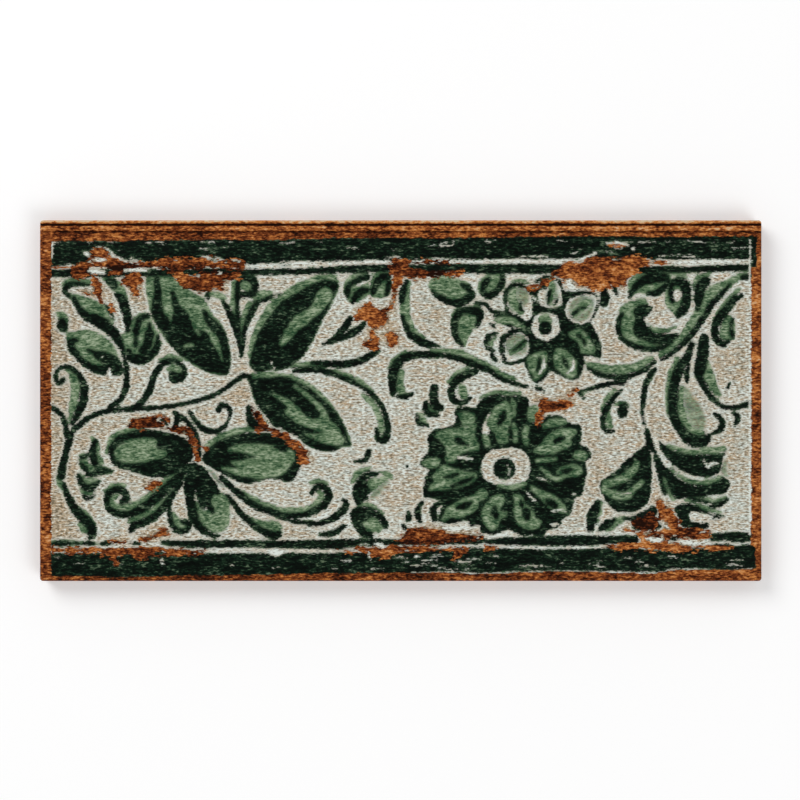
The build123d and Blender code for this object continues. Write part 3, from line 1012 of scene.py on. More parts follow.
def paint_lower_rosette():
    """Petals in two rows round a broad white ring, each light with a dark vein, on a dark ground."""
    dark.patch(
        (10.6, -13.4), (13, -11.6), (18, -10.2), (21.4, -8.6), (21.2, -3.6), (25, -2.4), (29, -3),
        (30.4, -0.6), (33.6, 1.2), (38, 2.4), (41, 1.4), (45, 2), (48.8, 1), (49.8, -2), (50.4, -7.6),
        (53.6, -8.8), (57, -6), (62, -6), (66, -9), (69.4, -9.6), (69.8, -14), (69.6, -17), (73, -19),
        (73.6, -22), (71.6, -23.6), (72.2, -27), (71.4, -31), (70, -36.6), (67.6, -37.6), (66.6, -41),
        (65.4, -44), (62.4, -46), (61.6, -48.6), (57, -50.2), (55, -52.4), (50, -52.2), (46, -51.8),
        (42.6, -50), (40.4, -50.4), (36, -51.8), (31, -50.8), (30.8, -48), (27, -48.8), (25.6, -46.4),
        (20, -47.4), (15, -46.6), (15.4, -43), (16, -40), (13.4, -38), (9.6, -37.2), (8.6, -34),
        (9.6, -30), (11, -27), (7.6, -24.6), (9, -22), (11, -19.6), (10.6, -16),
    )
    sage.stroke((1, 1.8, 1.6, 1), (31, 1.2), (36, 3), (41, 3), (46, 2.8))
    for petal in (
        (
            (38.4, -1.4), (36.6, -2.6), (35.2, -5), (33.6, -8.6), (34.6, -10.6), (37, -12.6),
            (37.6, -16), (41, -16.4), (41.6, -12), (42.4, -8), (43, -4.6), (42, -2), (40.4, -0.4),
        ),
        ((50, -2.4), (52.6, -2), (53.6, -4), (52.6, -7.4), (50.4, -8.2), (49.4, -6)),
        (
            (51.6, -19.6), (54.6, -16.8), (56.6, -14.4), (58.6, -12.6), (62, -11.2), (67.2, -11.2),
            (67.4, -12.8), (65.4, -14.6), (65.8, -17.4), (63.4, -18.8), (59, -20.2), (54.4, -20.8),
        ),
        ((68, -20), (70, -19.6), (72, -21), (71.4, -23), (68.4, -22.6), (67.2, -21.4)),
        (
            (50.6, -33), (54, -35), (58, -36.4), (61.4, -38.6), (63.6, -41.6), (63.4, -43), (60, -42.2),
            (56.6, -40), (53.6, -37), (51, -34.6),
        ),
        (
            (44, -36.6), (46.6, -37.4), (48, -40), (51, -42.6), (52, -45.4), (54, -47), (52.4, -49.4),
            (49, -49.8), (46, -48), (44.4, -45), (44.2, -41.6), (44.6, -38.6),
        ),
        (
            (36.4, -37), (39.6, -36.8), (39.6, -40.2), (38, -42.6), (41, -43.8), (38.6, -46),
            (37.4, -48.4), (35.2, -50), (33, -48), (31.6, -44.6), (32.4, -41.4), (34.4, -39),
        ),
        (
            (33.6, -36), (31.4, -34.6), (29.6, -36), (26.6, -37.6), (22, -39), (18.6, -41.6), (17, -44),
            (16.2, -45.8), (19, -45.2), (23, -45), (27, -43.4), (29.4, -41.4), (29.8, -38.8),
            (32.4, -38),
        ),
        (
            (16.6, -25), (20, -26.4), (24.8, -27.8), (28.8, -28.4), (28.6, -30.4), (24.6, -32.8),
            (20, -34), (15.4, -34.4), (11, -34.6), (13, -31.6), (12.8, -29), (15, -27),
        ),
        (
            (29, -9.4), (24, -10.4), (20, -11.2), (15.6, -12), (13.8, -14), (16, -16), (17.6, -18),
            (17.8, -20.4), (17.6, -23.4), (20.6, -23.6), (22.4, -21), (26, -19.4), (30, -18.6),
            (29, -15.4), (28.4, -12.4),
        ),
        ((23, -5), (26, -4.6), (28.4, -6), (28, -8.6), (24, -8.8)),
        ((8.6, -24), (11, -22.6), (14.4, -22.6), (14.6, -24.6), (12, -26), (9.6, -25.4)),
    ):
        light.patch(*petal)
    light.stroke((1, 2.2, 1.8), (48.8, -10.4), (48.2, -13), (48.6, -16))
    light.stroke((0.6, 1.4, 1), (43.6, -9), (44.4, -12), (44.6, -15.6))
    light.stroke((1, 2.2, 1.6), (32.4, -13.4), (33.2, -15.4), (33.6, -17))
    light.stroke((0.8, 1.6, 0.8), (53, -23.4), (56.4, -23), (60, -22.6))
    light.stroke((1, 2.8, 2.2), (55.6, -10), (59, -8.4), (63, -8.2))
    light.stroke((0.4, 0.9, 0.5), (43.2, 0.6), (44, -2.4), (44, -5.6))
    light.stroke(
        (0.8, 1.2, 1.4, 1.4, 1.2, 1),
        (54.4, -26.4), (57.6, -29), (60.6, -30.4), (64, -29), (68.4, -28.4), (69.4, -27), (66.6, -25.4),
        (64, -25.8), (61, -27.8),
    )
    for widths, vein in (
        ((1.6, 3, 1.6), ((40, -4.4), (39.4, -6.6), (38.2, -8.8))),
        ((1.2, 2.4, 1.2), ((60, -16), (61.6, -15), (63.2, -14.4))),
        ((1.4, 3, 2), ((56.4, -38.6), (58.4, -39.6), (60, -41))),
        ((2.4, 3.2, 2.4), ((48.6, -42.6), (48.6, -44), (49, -45.6))),
        ((1.6, 3, 2.2), ((36.4, -41.4), (36.2, -43.2), (37, -45))),
        ((1.2, 2.8, 1.2), ((27.4, -39.4), (25, -40.8), (22, -41.6))),
        ((0.8, 1.8, 1), ((17, -29.6), (19.6, -29.2), (22, -28.4))),
        ((1, 2, 1), ((20, -33.2), (24, -31.6), (28, -29.8))),
        ((1.2, 2.6, 0.8), ((21.8, -14.4), (22.6, -15.8), (26, -17.2))),
        ((0.8, 1.4, 0.8), ((46.6, -38.4), (46.8, -40), (47.4, -41.6))),
        ((0.8, 1.8, 1), ((62.4, -27.2), (64.4, -27.4), (66.4, -27))),
    ):
        ink.stroke(widths, *vein)
    white.stroke((0.8, 1.8, 1.2), (34.6, -5.6), (33.4, -9), (32.9, -12.4))
    white.patch(
        (31.8, -26), (32.9, -21.7), (36.2, -19.6), (41, -18.8), (45.8, -19.3), (48.8, -21.7),
        (49.6, -26), (48.2, -30.3), (44.8, -32.4), (40.6, -33), (36.2, -32), (32.9, -29.9),
    )
    light.stroke((0.8, 1.6, 1.2), (38, -32.8), (43, -33.6), (48, -32.2))
    ink.dots(8.8, (40.2, -26.4))
    fleck.stroke((0.3, 0.8, 0.5), (41.2, -25.4), (42, -26.8), (42, -28.4))
    fleck.stroke((0.3, 0.7, 0.3), (53, -30), (55.4, -30.6), (57.6, -31.6))
    fleck.stroke((0.3, 0.7, 0.3), (48.6, -35), (50.4, -37.4), (53, -40))
    fleck.stroke((0.4, 0.9, 0.5), (58.6, -42.8), (62, -42.4), (64.4, -43.4))
    fleck.stroke((0.4, 1, 0.4), (57.6, -47.8), (59.6, -48.2), (61.6, -48))
    fleck.stroke((0.8, 1.2, 0.6), (22.6, -22), (25.4, -22.4), (27.8, -22.8))
    fleck.dots(1.4, (67.2, -36.2))
    fleck.stroke((1, 2, 1.4), (16.4, -49.4), (21, -49.6), (26, -49.2))
    dark.stroke((1.4, 2.4, 2), (8.2, -39.4), (6.4, -42.6), (7.4, -46.6))
    dark.stroke((1.6, 2.6, 2.2), (15.4, -39.6), (12.8, -42), (13.2, -46))


def paint_lower_left_flower():
    """The flower at the lower left: two broad leaves, with a fan of narrow ones below."""
    dark.patch(
        (-112.8, -17.6), (-110.6, -14.6), (-106, -12.4), (-100, -11.2), (-94, -11.6), (-88, -13),
        (-83.4, -15), (-80.6, -18), (-80.4, -21), (-82, -24), (-86, -27.4), (-91, -29.2), (-97, -29.4),
        (-103, -27.8), (-108.4, -26.4), (-112, -24), (-113, -21),
    )
    light.patch(
        (-110.6, -19.6), (-108.6, -17), (-104, -15.4), (-100, -14.8), (-95, -15.2), (-95, -17),
        (-94.6, -18.8), (-91.4, -20), (-91.6, -21.4), (-95, -22.4), (-99, -23.4), (-104, -23.8),
        (-108, -23.4), (-110.6, -21.4),
    )
    sage.stroke((1.4, 2.4, 2.2, 1.4), (-114, -20), (-111.6, -14.6), (-106, -12), (-100, -10.6))
    dark.patch(
        (-76.6, -21), (-74, -18), (-70, -15.4), (-64, -13.6), (-58, -12.6), (-52, -12.6), (-47, -14),
        (-43, -16), (-40.6, -19), (-38.4, -22.6), (-39, -26), (-40.6, -29.4), (-43, -31.6), (-46, -31),
        (-51, -30), (-56, -31.4), (-60, -32), (-65, -30.6), (-70, -28), (-74, -25.4), (-76.6, -23.4),
    )
    light.patch(
        (-66.6, -19), (-62, -17.4), (-56, -16.8), (-50.4, -17.6), (-46, -18.8), (-42.6, -19.4),
        (-41.4, -21.4), (-41.8, -23.4), (-44, -26.4), (-46.4, -28.6), (-51, -29.6), (-57, -29.8),
        (-62, -29), (-66.4, -27.4), (-69, -26.2), (-64.6, -26.2), (-62, -26.2), (-64, -24.8),
        (-65.4, -23.8), (-60, -23), (-56, -22), (-58, -20.6), (-62, -19.8),
    )
    ink.stroke((1, 2, 1.2), (-49, -17.4), (-46.6, -18.2), (-44.6, -19.4))
    sage.stroke((1.6, 2.6, 2.2, 1.6), (-75.4, -17.6), (-70, -14.4), (-64, -12), (-57, -11))
    sage.stroke(
        (1.4, 1.8, 2.2, 2.6, 2.6, 2.2, 1.6),
        (-83, -25.4), (-87.4, -28.6), (-92, -32), (-96.4, -36), (-101, -39.6), (-106, -41.6),
        (-110.4, -41.4), (-112.2, -38.8), (-110.4, -37),
    )
    dark.stroke(
        (3, 3.4, 3.2, 3, 2.4, 2.2, 2, 2.2, 2.6, 2.8, 2),
        (-81.4, -25.4), (-87.4, -31.2), (-92, -35.2), (-96.4, -39.2), (-101, -42.2), (-106.4, -44.2),
        (-110.6, -43.6), (-113.6, -41), (-114, -37.6), (-112, -35), (-109, -34.6), (-106.8, -36),
        (-106.6, -38), (-108.2, -39.2),
    )
    sage.stroke((1.2, 1.8, 1.2), (-114.6, -35), (-111, -32.8), (-107, -33))
    sage.stroke(
        (1.4, 2.4, 2.4, 2, 1.4),
        (-89, -36.4), (-94, -41), (-98, -43.6), (-102.4, -45.4), (-105.4, -46.8),
    )
    dark.stroke(
        (2, 2.4, 2.6, 2.6, 2.8, 2.4, 2.2),
        (-85.4, -32), (-89.4, -38.2), (-92.4, -42.2), (-96, -45.4), (-100.4, -47.6), (-103.6, -48.8),
        (-104.6, -50.6),
    )
    dark.stroke(
        (1.8, 1.6, 1.8, 2, 2, 1.8, 1),
        (-89.2, -37.6), (-89.8, -42), (-89.4, -46), (-88, -49.4), (-85, -50.8), (-82.4, -49.6),
        (-82, -47.6), (-84.6, -46.6),
    )
    sage.stroke((1.4, 3, 3.6, 3), (-88.2, -44), (-87, -47), (-85.6, -48.6), (-83.4, -48.6))
    sage.patch(
        (-79, -38.6), (-77.6, -42), (-75, -42.6), (-74.4, -40), (-74, -37), (-72, -36.2), (-68, -36.4),
        (-66.6, -40), (-66.4, -45), (-67.4, -49), (-69.6, -50.4), (-73.6, -50.6), (-77, -48.6),
        (-79, -45), (-79.6, -41),
    )
    dark.patch(
        (-81, -24), (-76.6, -26), (-73.4, -29.6), (-71, -33), (-70.6, -36), (-72.4, -36), (-73.6, -39),
        (-72.4, -42.6), (-73, -43.6), (-75, -42), (-77.4, -41), (-78.8, -38), (-79.4, -34.6),
        (-80, -37), (-79.4, -41), (-78.4, -46), (-76, -49.4), (-72.6, -51.4), (-70, -52.4), (-73, -53),
        (-77, -51.4), (-80, -49), (-82, -45.6), (-83.2, -40), (-84, -35), (-83.8, -30),
    )
    wash.stroke((0.8, 1.6, 1.2), (-75, -26.6), (-71, -30.4), (-68.6, -33))
    dark.stroke(
        (2.2, 2.4, 2.4, 2.3, 2.2, 2.2, 2.4, 2.8, 2.8, 2.2, 1.8, 1.6),
        (-69.6, -30), (-64, -35), (-60, -38.4), (-56, -41), (-51, -43), (-46, -44.4), (-41, -44.8),
        (-36.6, -44), (-33, -42.6), (-30, -40.6), (-28, -38), (-28, -35.6), (-29.6, -33.6),
        (-32, -33.2), (-34, -34.6), (-34.4, -35.8),
    )
    sage.stroke(
        (1.4, 2, 2.2, 2.4, 2.2, 2, 1.4),
        (-61, -35.8), (-56, -38.8), (-50, -41.6), (-44, -42.8), (-38, -42.6), (-33.6, -40.6),
        (-31, -37.6), (-31.6, -35),
    )
    sage.stroke((0.8, 1.6, 0.8), (-35, -32), (-32, -31.2), (-28.6, -32))
    dark.stroke(
        (1.4, 1.6, 1.7, 2, 2.3, 2.8, 2.8, 1.8, 1),
        (-47, -45.2), (-42, -46.6), (-37, -47.4), (-32, -47.6), (-28, -46.4), (-24, -44),
        (-21.6, -41.6), (-21.2, -39.6), (-22.4, -38.4),
    )
    fleck.stroke((0.6, 1.4, 1.6, 0.8), (-38, -45.8), (-32, -45.6), (-28, -43.4), (-26, -41.6))
    sage.patch(
        (-63, -42.6), (-59, -45), (-54, -46.6), (-49, -46.8), (-46.4, -48.6), (-47.4, -51), (-52, -51),
        (-56, -49), (-60, -46),
    )
    dark.stroke(
        (1.4, 2, 2.2, 2.2, 2.4, 3, 2.6),
        (-67, -36.6), (-64, -41), (-61, -44.8), (-57, -48.4), (-53, -51), (-49.4, -52.2),
        (-47.4, -51.8),
    )


def paint_lower_left_sprig():
    """The small leaves between the lower left flower and the stem."""
    sage.stroke((1.6, 2, 1.6, 1.6), (-119.4, -14.6), (-117.6, -18), (-117.4, -21.6), (-116, -24))
    dark.stroke(
        (1.4, 2.6, 3, 2.6, 1.6),
        (-118.4, -15.8), (-119.4, -18.4), (-119.4, -21), (-118.8, -23.6), (-118.2, -25),
    )
    sage.patch(
        (-124.6, -21.4), (-121.6, -21), (-120.8, -24.4), (-117, -25), (-113.4, -26.4), (-112, -27.6),
        (-116, -28), (-120, -27.6), (-122.4, -27), (-124.4, -25),
    )
    dark.stroke((0.8, 1.4, 0.8), (-124, -22), (-122.6, -21.6), (-121.6, -21))
    dark.stroke((1, 1.8, 1.2), (-123.8, -24.6), (-122.6, -26), (-121.6, -27.4))
    dark.patch(
        (-118, -26.2), (-116, -25.6), (-113.6, -26.6), (-111.8, -27.4), (-114.6, -28.2),
        (-117.4, -29.2), (-120, -29.6), (-122.2, -29), (-121.4, -27.6), (-119.6, -28),
    )
    sage.patch(
        (-124, -28.6), (-122, -30.2), (-118.6, -30), (-117.6, -31), (-119, -32.6), (-122, -32.4),
        (-123.8, -31),
    )
    dark.stroke(
        (1.2, 1.8, 2.2, 2.4, 2, 1),
        (-125, -28.6), (-124.6, -31), (-122.8, -33.2), (-120.4, -33.8), (-118.4, -32.8),
        (-116.8, -31.4),
    )
    sage.stroke((1, 1.6, 1), (-123.8, -34.8), (-121.4, -35.8), (-118.8, -35.6))
    dark.patch(
        (-123.2, -36.2), (-121, -37.4), (-118.4, -36.6), (-119.6, -38), (-121.6, -39), (-122.8, -38.2),
    )


def paint_lower_middle():
    """The dashes and the pair of leaves between the lower left flower and the lower rosette."""
    dark.stroke((1.8, 2, 1.8, 1), (-12.4, -19.6), (-13.2, -22), (-15, -23.4), (-18, -23.6))
    dark.stroke(
        (1.6, 2.2, 2, 1.6, 1),
        (-31, -51.8), (-28, -51.6), (-25, -50.8), (-23, -49.2), (-21.4, -48.6),
    )
    sage.stroke((1.2, 2, 1), (-18.8, -31.4), (-16.4, -28), (-12, -26))
    wash.patch(
        (-12.6, -31), (-9, -30), (-5, -28.6), (-4, -30), (-6, -33), (-9, -36.6), (-12, -37.6),
        (-11, -35.4),
    )
    sage.patch((-12.6, -31), (-9, -30), (-5.4, -29), (-5.4, -30.6), (-8.4, -33), (-12, -35.4))
    sage.stroke((0.8, 1.6, 1), (-8, -27.6), (-5, -28.4), (-3.6, -30))
    dark.patch(
        (-8, -28.4), (-11, -27.2), (-14.6, -28.6), (-17, -31), (-18.4, -34), (-18.4, -37.6),
        (-17, -40.4), (-15.6, -40.6), (-14.8, -39), (-12.4, -38.6), (-13, -37), (-11.4, -35.4),
        (-12.8, -33.4), (-13, -31), (-11.4, -29.8),
    )
    sage.stroke((0.8, 1.6, 1), (-15.6, -40), (-11, -41), (-7, -43.6))
    sage.patch(
        (-15.2, -46.2), (-12.6, -45), (-10.6, -45.2), (-8.2, -46.6), (-7, -49), (-8.4, -50.8),
        (-11, -51), (-13.6, -49.6),
    )
    dark.patch(
        (-19.6, -44), (-18, -41.6), (-13.6, -41.4), (-9.4, -42.8), (-6.2, -45.2), (-4.8, -48),
        (-5.6, -50), (-7, -48.4), (-8.4, -46), (-11, -44.8), (-13.4, -46.4), (-15, -47.2), (-14, -49.6),
        (-11.6, -51), (-11, -52.6), (-12.6, -53.4), (-15.4, -52.4), (-17.6, -49.8), (-19, -47),
    )
    dark.stroke((1.8, 2.6), (3, -43.6), (3, -45.6))
    dark.stroke((1.6, 1.8), (1, -48.4), (1.6, -49.6))
    dark.dots(1, (2.4, -25.6), (53, 4.6), (55.6, 3.4))


def chip_upper_left():
    """Glaze lost along the upper border at the left."""
    chip.patch(
        (-120.4, 57), (-119, 58.8), (-116, 59), (-113.4, 57.6), (-112.6, 55.4), (-109, 54.4),
        (-104, 53.4), (-98, 54.2), (-92, 55.4), (-84, 55.2), (-76, 55.8), (-68, 55), (-61, 54.4),
        (-60.6, 51), (-66, 50.8), (-78, 50.8), (-88, 50.4), (-94, 51.4), (-104, 51.8), (-107.4, 50.4),
        (-109.6, 48.6), (-112.6, 48.8), (-114.4, 51.8), (-118, 52.4), (-120.8, 51.6), (-121, 48.4),
        (-123.6, 46.8), (-126.4, 47.8), (-127.6, 50.6), (-125.6, 53), (-121, 54),
    )
    chip.patch(
        (-91, 50), (-84, 50.2), (-74, 49.8), (-66, 50), (-62, 49.2), (-62.4, 47.6), (-65, 46.4),
        (-68.6, 46), (-69, 42.8), (-73, 43), (-77, 41.6), (-81, 42.8), (-85, 44), (-88, 48.4),
    )
    chip.stroke(
        (2, 3, 3, 2.2, 1.4),
        (-119, 47.8), (-118, 45.4), (-117.4, 42.6), (-116.8, 40), (-115.4, 37.6),
    )
    chip.stroke((1, 1.6, 1), (-124.4, 43), (-121.6, 42), (-119, 40.8))
    chip.stroke((0.8, 1.6, 0.8), (-113.2, 37.4), (-112, 35.6), (-110.8, 34))
    chip.patch(
        (-108.2, 46), (-107, 48.8), (-103, 49.2), (-100.2, 48), (-100.6, 45.6), (-101.6, 43),
        (-101.6, 39.8), (-103.4, 41), (-105, 43.4), (-107, 44),
    )
    chip.stroke((0.8, 1.4, 1), (-135, 51.8), (-131, 51.7), (-127, 52))
    fleck.stroke((0.4, 0.9, 0.4), (-129.8, 52.6), (-128, 52.4), (-126, 52.2))
    kept_white((1, 2, 1.2), (-118.4, 54.8), (-116.4, 54.6), (-114, 54.4))
    fleck.stroke((1.2, 2.2, 1.2), (-121, 50.2), (-118.6, 50), (-115, 49.8))
    fleck.stroke((1, 1.8, 1), (-107, 50.6), (-103, 50.8), (-98.6, 50.4))
    kept_dark((0.8, 1.6, 1), (-98.2, 50.2), (-95, 50.2), (-92, 49.8))
    kept_dark((0.8, 2.2, 1.6), (-83.6, 50.4), (-81, 49.8), (-79, 49.4))
    kept_dark((0.8, 1.2, 0.8), (-76, 51), (-71, 50.8), (-66, 50.8))
    kept_white((0.5, 1.1, 0.6), (-104.4, 55.4), (-102.8, 54.1), (-100, 54.1))
    fleck.stroke(
        (0.4, 0.9, 1.2, 0.8),
        (-118, 59.5), (-115, 59.3), (-112.4, 57.8), (-111, 55.8), (-107.6, 54.8),
    )
    fleck.stroke((1, 2, 1), (-122.6, 57.4), (-121.8, 57), (-120.8, 56.2))
    fleck.stroke(0.8, (-127, 42.8), (-123, 44), (-119, 42.2), (-118, 41))
    kept_white((0.4, 0.9, 0.4), (-77, 55.8), (-74.6, 55.4), (-72, 54.4))
    kept_white((0.8, 1.4, 0.6), (-71.6, 55.4), (-70, 54.8), (-68, 54))
    kept_white((0.4, 0.9, 0.4), (-65.6, 54.8), (-64, 54.4), (-62.4, 53.8))
    kept_white(0.9, (-70.6, 49.2), (-69.6, 49.4))
    soaked.stroke(
        (2, 2.6, 2.6, 3, 2),
        (-126, 50.4), (-110, 51.4), (-92, 51.4), (-78, 50.6), (-62, 50.2),
    )


def chip_centre():
    """Glaze lost in the middle of the upper border, with runs below it."""
    chip.stroke(
        (2.4, 4, 3.6, 2.2, 2, 1.4),
        (-2, 54.4), (-1.4, 51), (-1.4, 47), (-2.4, 44), (-2.8, 41), (-2.4, 38),
    )
    chip.patch(
        (-17.8, 33), (-16, 36.2), (-12.4, 38.4), (-10, 36.2), (-5.6, 36), (-3.4, 38.6), (-2.6, 36.6),
        (-5, 33.6), (-5.6, 30), (-8, 28), (-12, 28.4), (-14, 30.4), (-17.6, 31),
    )
    chip.strip(
        (-4.4, 48.4, 54.2), (2, 47.6, 54.8), (8, 47.4, 54.8), (18, 47.8, 53.8), (23.6, 48.2, 52.9),
    )
    kept_dark((1.4, 2.4, 2.8, 3), (4, 52), (10, 51.8), (16, 51.8), (24, 51.6))
    kept_dark((1, 1.8, 1.2), (3.4, 55.4), (6.4, 55), (9, 54.6))
    chip.patch((-5.8, 25), (-4, 27.2), (-1.6, 26), (-0.6, 24), (-2.8, 21.6), (-4.6, 22))
    chip.patch((-14.6, 21.6), (-12, 24), (-11.4, 27), (-9.6, 26), (-8.2, 22), (-9, 19.4), (-12.6, 19.6))
    soaked.stroke((2, 3.6, 3.6, 2), (-4, 52), (4, 52.4), (14, 52.2), (24, 51.8))
    soaked.stroke((2, 4, 3), (-2, 49), (6, 49.4), (16, 49.4))
    fleck.stroke((0.5, 1, 0.6), (10, 54.9), (16, 54.8), (22, 54.3))
    fleck.stroke((0.4, 0.7, 0.4), (-6, 55.4), (-3, 55.6), (0, 55.4))
    fleck.stroke((0.5, 0.9, 0.8, 0.5), (-18, 37), (-13, 39.2), (-9, 37), (-5.4, 37))


def chip_right():
    """Glaze lost along the upper border at the right, and beside the upper rosette."""
    chip.patch(
        (61, 51.4), (63.6, 53.6), (70, 54), (74, 55.6), (78, 56.2), (82, 55), (86, 55.6), (90, 56.8),
        (94, 56), (98, 54.4), (104.4, 53.6), (104, 52.8), (97, 52.6), (92, 51), (93.6, 49.6),
        (88.4, 47.8), (87, 44.4), (82.6, 44), (79, 43), (75, 42.4), (72, 44.4), (68.4, 45), (66, 47),
        (63, 45.2), (61.6, 48.2), (58, 47.4), (58, 49),
    )
    chip.stroke((1.4, 2.2, 2.4), (49.6, 43.8), (52.6, 44.4), (56, 45.4))
    fleck.stroke((0.8, 1.6, 0.8), (80, 61), (84, 61.2), (88, 60.4))
    chip.stroke((0.6, 1.2, 0.6), (80.6, 60.2), (84, 60.2), (87, 59.8))
    fleck.stroke((1, 2.2, 1.2), (64.6, 46), (66, 44.4), (67.6, 42.8))
    chip.patch(
        (53.8, 0.8), (58, 0.2), (64, 0.2), (66.4, -1), (65, -2.4), (62.6, -3.8), (58, -4), (56.4, -5),
        (54, -4.6),
    )
    chip.stroke((2, 2.6, 1.6), (54.6, -4.6), (53.6, -7), (52.6, -9.2))
    chip.stroke((0.6, 1, 0.6), (65, 1.6), (66.6, 2.8), (68, 4))
    soaked.stroke((1.4, 2.4, 1.6), (54, -5), (57.4, -2.2), (63, -1.8))


def chip_left_flower():
    """Glaze lost on the lower left flower and along the lower edge of the spray."""
    chip.patch(
        (-105.2, -9), (-101.4, -6.6), (-97, -5.8), (-91.4, -5.8), (-89.6, -8), (-90, -10.4),
        (-95, -10.4), (-101, -11), (-105.4, -10.6),
    )
    kept_dark((1, 1.8, 1), (-93.4, -7.4), (-91.6, -8), (-90.6, -9.4))
    soaked.stroke((4, 5, 5, 4, 3), (-105, -9), (-98, -8.6), (-91, -8.6), (-86, -11.4), (-81, -15))
    soaked.stroke((3, 4, 3, 1), (-58.4, -2.6), (-57, -6), (-54.6, -9.6), (-51, -12))
    chip.stroke(
        (2.6, 3.4, 2.8, 2.2, 1.8),
        (-88, -11), (-83, -12), (-80.6, -15), (-79.6, -20), (-78.6, -23),
    )
    chip.stroke((1, 1.6, 1), (-77.6, -17.6), (-76.2, -18.2), (-75, -18.6))
    chip.patch((-98.6, -33), (-97, -32), (-93.2, -31.4), (-94.4, -34), (-96.6, -35.6), (-98, -34.6))
    chip.stroke((1, 2.4, 3.4, 2), (-57, -3.4), (-55.4, -5.6), (-53.6, -9), (-51.4, -11.4))
    chip.stroke(
        (1.6, 2.2, 3.2, 2.6, 3, 4.4, 3.4),
        (-56, -11.6), (-50, -11.8), (-46, -13.6), (-43.4, -15.4), (-40.6, -18), (-38.6, -20.4),
        (-37.6, -23.6),
    )


